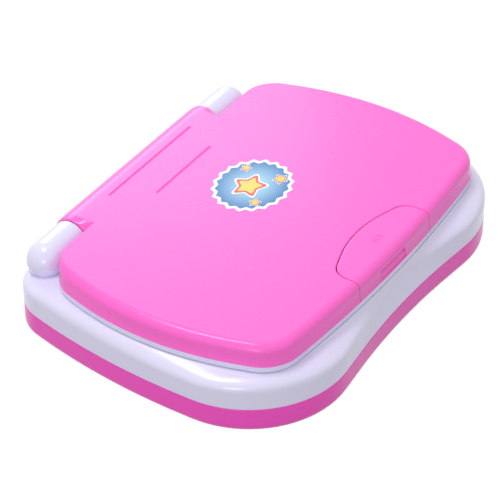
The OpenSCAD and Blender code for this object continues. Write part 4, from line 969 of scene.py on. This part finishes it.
start = spread(flat, given["Flange"])
body, top = rise(start, given["Flange Height"], None)
body, top = rise(body, 0.0, top)
body = spread(body, maths(cap_tree, "MULTIPLY", given["Flange"], -1.0), top)
straight = maths(cap_tree, "SUBTRACT", maths(cap_tree, "SUBTRACT", given["Top"], given["Foot"]),
                 maths(cap_tree, "ADD", given["Flange Height"], given["Round"]))
body, top = rise(body, straight, top)
ROUND_STEPS = 5
for k in range(ROUND_STEPS):
    a, b = [math.pi / 2 * n / ROUND_STEPS for n in (k, k + 1)]
    body, top = rise(body, maths(cap_tree, "MULTIPLY", given["Round"], math.sin(b) - math.sin(a)), top)
    body = spread(body, maths(cap_tree, "MULTIPLY", given["Round"], math.cos(b) - math.cos(a)), top)
whole = add(cap_tree, "GeometryNodeJoinGeometry")
for part in (start, body):
    cap_tree.links.new(part, whole.inputs[0])
closed = add(cap_tree, "GeometryNodeMergeByDistance",
             {"Geometry": whole.outputs[0], "Distance": 0.001}).outputs[0]
to_foot = add(cap_tree, "ShaderNodeCombineXYZ", {"Z": given["Foot"]}).outputs[0]
closed = add(cap_tree, "GeometryNodeTransform", {"Geometry": closed, "Translation": to_foot}).outputs[0]

# %% Geometry Nodes: the printed sign on the cap
letter = add(cap_tree, "GeometryNodeStringToCurves", {"String": given["Sign"], "Size": given["Sign Size"]},
             align_x="CENTER", align_y="MIDDLE")
letter = add(cap_tree, "GeometryNodeRealizeInstances", {0: letter.outputs[0]}).outputs[0]
letter = add(cap_tree, "GeometryNodeFillCurve", {"Curve": letter}, mode="TRIANGLES").outputs[0]
shape = add(cap_tree, "GeometryNodeMeshCircle", {"Vertices": given["Sides"], "Radius": given["Sign Size"]},
            fill_type="NGON").outputs[0]
is_shape = add(cap_tree, "FunctionNodeCompare", {2: given["Sides"], 3: 0}, data_type="INT",
               operation="GREATER_THAN")
sign = add(cap_tree, "GeometryNodeSwitch", {0: is_shape.outputs[0], 1: letter, 2: shape},
           input_type="GEOMETRY").outputs[0]
sign = raised(cap_tree, sign, 0.08)
to_top = add(cap_tree, "ShaderNodeCombineXYZ", {"Z": maths(cap_tree, "SUBTRACT", given["Top"],
                                                           0.03)}).outputs[0]
sign = add(cap_tree, "GeometryNodeTransform", {"Geometry": sign, "Translation": to_top}).outputs[0]
done = add(cap_tree, "GeometryNodeJoinGeometry")
for part in (painted(cap_tree, closed, given["Plastic"]), painted(cap_tree, sign, given["Ink"])):
    cap_tree.links.new(part, done.inputs[0])
real = add(cap_tree, "GeometryNodeRealizeInstances", {0: done.outputs[0]})
cap_tree.links.new(real.outputs[0], way_out.inputs[0])


def outward(mesh):
    """Every shell's faces turned outwards."""
    bm = bmesh.new()
    bm.from_mesh(mesh)
    bmesh.ops.recalc_face_normals(bm, faces=bm.faces)
    bm.to_mesh(mesh)
    bm.free()
    return mesh


def key(node, x, y, plastic_of, ink, **values):
    mesh = outward(grown(cap_tree, Plastic=plastic_of, Ink=ink, **values))
    mesh.transform(Matrix.Translation((x, y, 0)))
    mesh.shade_smooth()
    mesh.set_sharp_from_angle(angle=math.radians(40))
    return place(mesh, node)


FOOT, RISE = UNDER_Z - 1.2, TRAY_Z + 3.5
for letter, (x, y) in KEYS.items():
    key("key_" + letter, x, y, key_white, key_ink, Sign=letter, Foot=FOOT, Top=RISE)
key("key_space", 0, SPACE_Y, space_pink, key_ink, Sign="", Width=float(SPACE_W), Foot=FOOT, Top=RISE,
    Round=1.4)
for (colour, (x, y)), sides in zip(BUTTONS.items(), (3, 4, 6, 32)):
    key("button_" + colour, x, y, button_plastic[colour], button_ink, Sign="", Sides=sides, Sign_Size=2.6,
        Width=2 * BUTTON_R, Depth=2 * BUTTON_R, Corner=BUTTON_R - 0.01, Foot=FOOT, Top=RISE, Round=1.8)

# %% [markdown]
# ## Badge
# A round printed sticker with a scalloped white border sits on the lid. The print here is a plain
# design of stars on a blue field. Stacking thin plates, each a filled star curve with rounded tips,
# gives crisp colour edges that stay sharp at any size.

# %% Colours of the print
blue_field, tree, shader = new_material("Blue print, lighter in the middle")
BADGE_X, BADGE_Y, BADGE_RX, BADGE_RY = 10.2, LID_BACK - 55.3, 27.0, 22.5
place_of = add(tree, "ShaderNodeTexCoord").outputs["Object"]
centred = add(tree, "ShaderNodeMapping", {"Vector": place_of,
                                          "Location": (-BADGE_X * MM, -BADGE_Y * MM, 0.0)})
flat_place = vectors(tree, "MULTIPLY", centred.outputs[0], (1 / (BADGE_RX * MM), 1 / (BADGE_RY * MM), 0.0))
reach = add(tree, "ShaderNodeVectorMath", {0: flat_place}, operation="LENGTH").outputs["Value"]
ramp = add(tree, "ShaderNodeValToRGB", {"Fac": reach})
ramp.color_ramp.elements[0].color, ramp.color_ramp.elements[0].position = rgb(168, 218, 242), 0.1
ramp.color_ramp.elements[1].color, ramp.color_ramp.elements[1].position = rgb(42, 118, 182), 0.84
tree.links.new(ramp.outputs[0], shader.inputs["Base Color"])
surface = use(tree, skin_group, Roughness=0.25)
tree.links.new(surface.outputs["Roughness"], shader.inputs["Roughness"])
label_white = plastic("White sticker", rgb(236, 242, 250), rgb(226, 234, 246), roughness=0.25, coat=0.2)
warm_red = plastic("Red print", rgb(216, 62, 58), rgb(200, 50, 50), roughness=0.25, coat=0.2)
warm_yellow = plastic("Yellow print", rgb(252, 206, 70), rgb(248, 186, 52), roughness=0.25, coat=0.2)

# %% Geometry Nodes: one plate of the badge
plate_tree, way_in, way_out = group_of(
    "GeometryNodeTree", "Star plate",
    [("Points", "Int", 22), ("Outer", "Float", 24.0), ("Inner", "Float", 22.4), ("Squash", "Float", 1.0),
     ("Tip", "Float", 1.0), ("Thickness", "Float", 0.1), ("Place", "Vector", (0.0, 0.0, 0.0)),
     ("Turn", "Float", 0.0), ("Print", "Material", None)], [("Geometry", "Geometry")])
given = way_in.outputs
star = add(plate_tree, "GeometryNodeCurveStar", {"Points": given["Points"], "Inner Radius": given["Inner"],
                                                 "Outer Radius": given["Outer"]})
soft = add(plate_tree, "GeometryNodeFilletCurve", {"Curve": star.outputs[0], "Count": 5,
                                                   "Radius": given["Tip"], "Limit Radius": True}, mode="POLY")
flat = add(plate_tree, "GeometryNodeFillCurve", {"Curve": soft.outputs[0]}, mode="NGONS").outputs[0]
plate = raised(plate_tree, flat, given["Thickness"])
turn = add(plate_tree, "ShaderNodeCombineXYZ", {"Z": given["Turn"]}).outputs[0]
size = add(plate_tree, "ShaderNodeCombineXYZ", {"X": 1.0, "Y": given["Squash"], "Z": 1.0}).outputs[0]
plate = add(plate_tree, "GeometryNodeTransform", {"Geometry": plate, "Rotation": turn}).outputs[0]
plate = add(plate_tree, "GeometryNodeTransform", {"Geometry": plate, "Translation": given["Place"],
                                                  "Scale": size})
plate = painted(plate_tree, plate.outputs[0], given["Print"])
real = add(plate_tree, "GeometryNodeRealizeInstances", {0: plate})
plate_tree.links.new(real.outputs[0], way_out.inputs[0])

# %% Badge, plate on plate


def joined(meshes):
    """One mesh of several, each keeping its own materials."""
    bm, materials = bmesh.new(), []
    for mesh in meshes:
        start = len(bm.faces)
        bm.from_mesh(mesh)
        bm.faces.ensure_lookup_table()
        base = len(materials)
        materials += list(mesh.materials)
        for face in bm.faces[start:]:
            face.material_index += base
    made = bpy.data.meshes.new("joined")
    for material in materials:
        made.materials.append(material)
    bm.to_mesh(made)
    bm.free()
    return outward(made)


SQUASH = BADGE_RY / BADGE_RX
plates = [dict(Points=20, Outer=BADGE_RX, Inner=24.4, Tip=1.2, Thickness=0.12, Print=label_white),
          dict(Points=20, Outer=24.2, Inner=22.0, Tip=1.0, Thickness=0.16, Print=blue_field)]
STARS = ((-1.7, 1.1, 14.6, 0.2), (13.2, -10.2, 6.2, -0.25), (-13.6, -10.1, 4.9, 0.4), (12.2, 12.0, 4.7, 0.1))
LAYERS = ((1.0, 0.52, 0.12, 0.2, label_white), (0.86, 0.45, 0.1, 0.24, warm_red),
          (0.64, 0.335, 0.08, 0.28, warm_yellow))
for x, y, size, turn in STARS:
    plates += [dict(Points=5, Outer=size * outer, Inner=size * inner, Tip=size * tip, Thickness=thickness,
                    Print=ink, Place=(x, y, 0.0), Turn=turn) for outer, inner, tip, thickness, ink in LAYERS]
badge = joined([grown(plate_tree, Squash=SQUASH, **plate) for plate in plates])
badge.transform(Matrix.Translation((BADGE_X, BADGE_Y, TOP_Z)))
place(badge, "badge", weighted=False)

# %% [markdown]
# ## Screws
# Pan-head screws with a cross recess hold the cases, the boards and the battery door. One tree makes
# the screw once and sets it on points, so a list of places is all that each group needs.

# %% Geometry Nodes: screws on points
screw_tree, way_in, way_out = group_of(
    "GeometryNodeTree", "Screws",
    [("Places", "Geometry", None), ("Length", "Float", 12.0), ("Head Radius", "Float", 2.8),
     ("Head", "Float", 2.0),
     ("Shank", "Float", 1.3), ("Turn", "Vector", (0.0, 0.0, 0.0)), ("Finish", "Material", None)],
    [("Geometry", "Geometry")])
given = way_in.outputs
core_rod = add(screw_tree, "GeometryNodeMeshCylinder", {"Vertices": 24, "Radius": given["Shank"],
                                                        "Depth": maths(screw_tree, "ADD", given["Length"],
                                                                       given["Head"])})
lift = maths(screw_tree, "MULTIPLY", maths(screw_tree, "SUBTRACT", given["Head"], given["Length"]), 0.5)
core_rod = add(screw_tree, "GeometryNodeTransform", {
    "Geometry": core_rod.outputs[0], "Translation": add(screw_tree, "ShaderNodeCombineXYZ",
                                                        {"Z": lift}).outputs[0]})
disc = add(screw_tree, "GeometryNodeMeshCircle", {"Vertices": 32, "Radius": given["Head Radius"]},
           fill_type="NGON")
head, top = disc.outputs[0], None
for up, scale in ((0.62, 1.0), (0.2, 0.965), (0.12, 0.9), (0.06, 0.8)):
    offset = add(screw_tree, "ShaderNodeCombineXYZ", {"Z": maths(screw_tree, "MULTIPLY", given["Head"], up)})
    links = {"Mesh": head, "Offset": offset.outputs[0], "Offset Scale": 1.0, "Individual": False}
    if top is not None:
        links["Selection"] = top
    pulled = add(screw_tree, "GeometryNodeExtrudeMesh", links)
    head, top = pulled.outputs["Mesh"], pulled.outputs["Top"]
    head = add(screw_tree, "GeometryNodeScaleElements",
               {"Geometry": head, "Selection": top, "Scale": scale}).outputs[0]
whole = add(screw_tree, "GeometryNodeJoinGeometry")
turned_disc = add(screw_tree, "GeometryNodeFlipFaces", {0: disc.outputs[0]}).outputs[0]
for part in (head, turned_disc):
    screw_tree.links.new(part, whole.inputs[0])
head = add(screw_tree, "GeometryNodeMergeByDistance",
           {"Geometry": whole.outputs[0], "Distance": 0.001}).outputs[0]
cross = add(screw_tree, "GeometryNodeMeshBoolean", operation="UNION", solver="EXACT")
for size in ((3.3, 0.72, 2.0), (0.72, 3.3, 2.0)):
    cube = add(screw_tree, "GeometryNodeMeshCube", {"Size": size}).outputs[0]
    screw_tree.links.new(cube, cross.inputs["Mesh 2"])
sink = add(screw_tree, "ShaderNodeCombineXYZ", {"Z": given["Head"]})
cross = add(screw_tree, "GeometryNodeTransform", {"Geometry": cross.outputs[0],
                                                  "Translation": sink.outputs[0]}).outputs[0]
solid = add(screw_tree, "GeometryNodeMeshBoolean", operation="UNION", solver="EXACT")
for part in (head, core_rod.outputs[0]):
    screw_tree.links.new(part, solid.inputs["Mesh 2"])
cut = add(screw_tree, "GeometryNodeMeshBoolean", {"Mesh 1": solid.outputs[0], "Mesh 2": cross},
          operation="DIFFERENCE", solver="EXACT")
set_down = add(screw_tree, "GeometryNodeInstanceOnPoints",
               {"Points": given["Places"], "Instance": cut.outputs[0], "Rotation": given["Turn"]})
real = add(screw_tree, "GeometryNodeRealizeInstances", {0: set_down.outputs[0]})
done = painted(screw_tree, real.outputs[0], given["Finish"])
screw_tree.links.new(done, way_out.inputs[0])


def points_mesh(places):
    mesh = bpy.data.meshes.new("places")
    mesh.from_pydata(places, [], [])
    return mesh


def screws(node, places, length, head, up):
    """A node's screws; each place is the seat under a head, and up says which way the head looks."""
    turn = (0.0, 0.0, 0.0) if up else (math.pi, 0.0, 0.0)
    mesh = grown(screw_tree, points_mesh(places), Length=length, Head=head, Turn=turn, Finish=steel)
    return place(soften(outward(mesh), 35), node)


HEAD_H, LOW_HEAD_H, BOARD_T = 2.0, 1.15, 1.6
CASE_SEAT, SEAT_H = FOOT_Z + 5, 1.2
SCREW_TOP = UNDER_Z - 2.4
screws("case_screws", [(x, y, CASE_SEAT) for x, y in BOSSES], SCREW_TOP - CASE_SEAT, HEAD_H, False)
screws("board_screws", [(x, y, BOARD_TOP - BOARD_T) for x, y in POSTS], 4.6, HEAD_H, False)
screws("battery_door_screw", [(DOOR_SCREW_X, BAY_Y, FOOT_Z + SEAT_H)], 7.8, LOW_HEAD_H, False)
screws("lid_screws", [(x, y, FRAME_Z + SEAT_H) for x, y in LID_BOSSES], 6.8, LOW_HEAD_H, False)
screws("lid_board_screws", [(x, y, LID_BOARD_Z + BOARD_T) for x, y in LID_POSTS], 4.8, HEAD_H, True)

# %% [markdown]
# ## Small mouldings, softened
# The battery door, the switch and the other small pieces already have the right shape in the frame.
# A copy of the mesh, merged and with a fine bevel on its edges, catches the light as a moulding does.

# %% Softened copies


def softened(node, finish, bevel):
    """Copy of a frame node with its doubles merged and its sharp edges bevelled."""
    mesh = nodes[node].data.copy()
    mesh.transform(Matrix.Scale(1 / MM, 4))
    bm = bmesh.new()
    bm.from_mesh(mesh)
    bmesh.ops.remove_doubles(bm, verts=bm.verts, dist=0.003)
    bmesh.ops.dissolve_limit(bm, angle_limit=math.radians(2), verts=bm.verts, edges=bm.edges)
    sharp = [e for e in bm.edges if len(e.link_faces) == 2 and e.calc_face_angle(0) > math.radians(40)]
    bmesh.ops.bevel(bm, geom=sharp, offset=bevel, segments=2, profile=0.5, affect="EDGES", clamp_overlap=True)
    bm.to_mesh(mesh)
    bm.free()
    return place(soften(mesh), node, finish)


softened("battery_door", case_pink, 0.25)
softened("power_switch", knob_plastic, 0.12)

# %% [markdown]
# ## Finishes on the frame's own pieces
# Everything that stays as the frame made it, mostly inside the case, still gets a real finish: boards
# with tracks, sprung contacts, the speaker, the mat under the keys and the wires through the hinge.

# %% Give the carried-over pieces their finishes
FINISH = {"rubber_feet": foot_rubber, "battery_cells": cell_wrap, "battery_contacts": steel,
          "main_board": board_green, "lid_board": board_green, "key_mat": silicone,
          "speaker": speaker_black, "switch_housing": steel, "hinge_bush": bush_plastic,
          "hinge_pin": steel, "latch_pin": steel, "latch_spring": steel,
          "base_wires": sleeve, "lid_wires": sleeve,
          "screen_window": window_clear, "display_panel": display_glass}
for node, finish in FINISH.items():
    nodes[node].data.materials.clear()
    nodes[node].data.materials.append(finish)
left = sorted(n for n in nodes if not nodes[n].hide_render and n not in FINISH)
print("carried over:", len(FINISH), "without a finish:", left)

# %% [markdown]
# ## Studio
# The toy stands on a white sweep under a wide, soft light, with hardly any shadow. The sweep and the
# world look plain white to the camera and in reflections, but light the toy at a plain level.

# %% Floor and world
FLOOR_HALF = 4.0
floor_mesh = bpy.data.meshes.new("floor")
corners = [(FLOOR_HALF * x, FLOOR_HALF * y, 0) for x, y in ((-1, -1), (1, -1), (1, 1), (-1, 1))]
floor_mesh.from_pydata(corners, [], [range(len(corners))])
floor = bpy.data.objects.new("floor", floor_mesh)
bpy.context.scene.collection.objects.link(floor)
floor_white, tree, shader = new_material("White sweep")
shader.inputs["Base Color"].default_value = (0.35, 0.35, 0.35, 1)
shader.inputs["Roughness"].default_value = 0.9
shader.inputs["Specular IOR Level"].default_value = 0.1
rays = add(tree, "ShaderNodeLightPath").outputs
seen = maths(tree, "MAXIMUM", maths(tree, "MAXIMUM", rays["Is Camera Ray"], rays["Is Glossy Ray"]),
             rays["Is Transmission Ray"])
PLAIN, SHARE = 1.15, 0.85
plain = add(tree, "ShaderNodeEmission", {"Color": (1, 1, 1, 1), "Strength": PLAIN})
mix = add(tree, "ShaderNodeMixShader", {0: maths(tree, "MULTIPLY", seen, SHARE), 1: shader.outputs[0],
                                        2: plain.outputs[0]})
tree.links.new(mix.outputs[0], tree.nodes["Material Output"].inputs["Surface"])
floor_mesh.materials.append(floor_white)

world = bpy.data.worlds.new("studio")
bpy.context.scene.world = world
world.use_nodes = True
tree = world.node_tree
backdrop = tree.nodes["Background"]
rays = add(tree, "ShaderNodeLightPath").outputs
seen = maths(tree, "MAXIMUM", maths(tree, "MAXIMUM", rays["Is Camera Ray"], rays["Is Glossy Ray"]),
             rays["Is Transmission Ray"])
DOME = 0.7
tree.links.new(maths(tree, "MULTIPLY_ADD", seen, 1.0 - DOME, DOME), backdrop.inputs["Strength"])
backdrop.inputs["Color"].default_value = (1, 1, 1, 1)

# %% Soft lamps


def softbox(name, place_at, size, power):
    """Square area lamp that looks at the toy."""
    lamp = bpy.data.lights.new(name, "AREA")
    lamp.shape, lamp.size, lamp.energy = "SQUARE", size, power
    holder = bpy.data.objects.new(name, lamp)
    bpy.context.scene.collection.objects.link(holder)
    holder.location = place_at
    aim = Vector((0, 0, 0.03)) - Vector(place_at)
    holder.rotation_mode = "QUATERNION"
    holder.rotation_quaternion = aim.to_track_quat("-Z", "Y")
    return holder


softbox("overhead", place_at=(-0.15, 0.35, 1.3), size=0.35, power=5.4)
softbox("left", place_at=(-1.45, -0.45, 0.55), size=0.5, power=4.2)
softbox("sheen", place_at=(1.58, 1.5, 1.05), size=1.0, power=11.0)
bpy.context.scene.view_settings.view_transform = "Standard"

# %% [markdown]
# ## Camera
# A long lens from the left front, well above the table, so that the lid's outline hardly converges.

# %% Camera
AZIMUTH, ELEVATION = math.radians(-57.6), math.radians(36.7)
backwards = Vector((math.sin(AZIMUTH) * math.cos(ELEVATION), -math.cos(AZIMUTH) * math.cos(ELEVATION),
                    math.sin(ELEVATION)))
camera = bpy.data.objects.new("camera", bpy.data.cameras.new("camera"))
bpy.context.scene.collection.objects.link(camera)
camera.location = Vector((-929.8, -580.4, 834.4)) * MM
camera.rotation_mode = "QUATERNION"
camera.rotation_quaternion = (-backwards).to_track_quat("-Z", "Y")
camera.data.sensor_width, camera.data.lens = 36.0, 174.96
camera.data.clip_start, camera.data.clip_end = 0.05, 50
bpy.context.scene.camera = camera
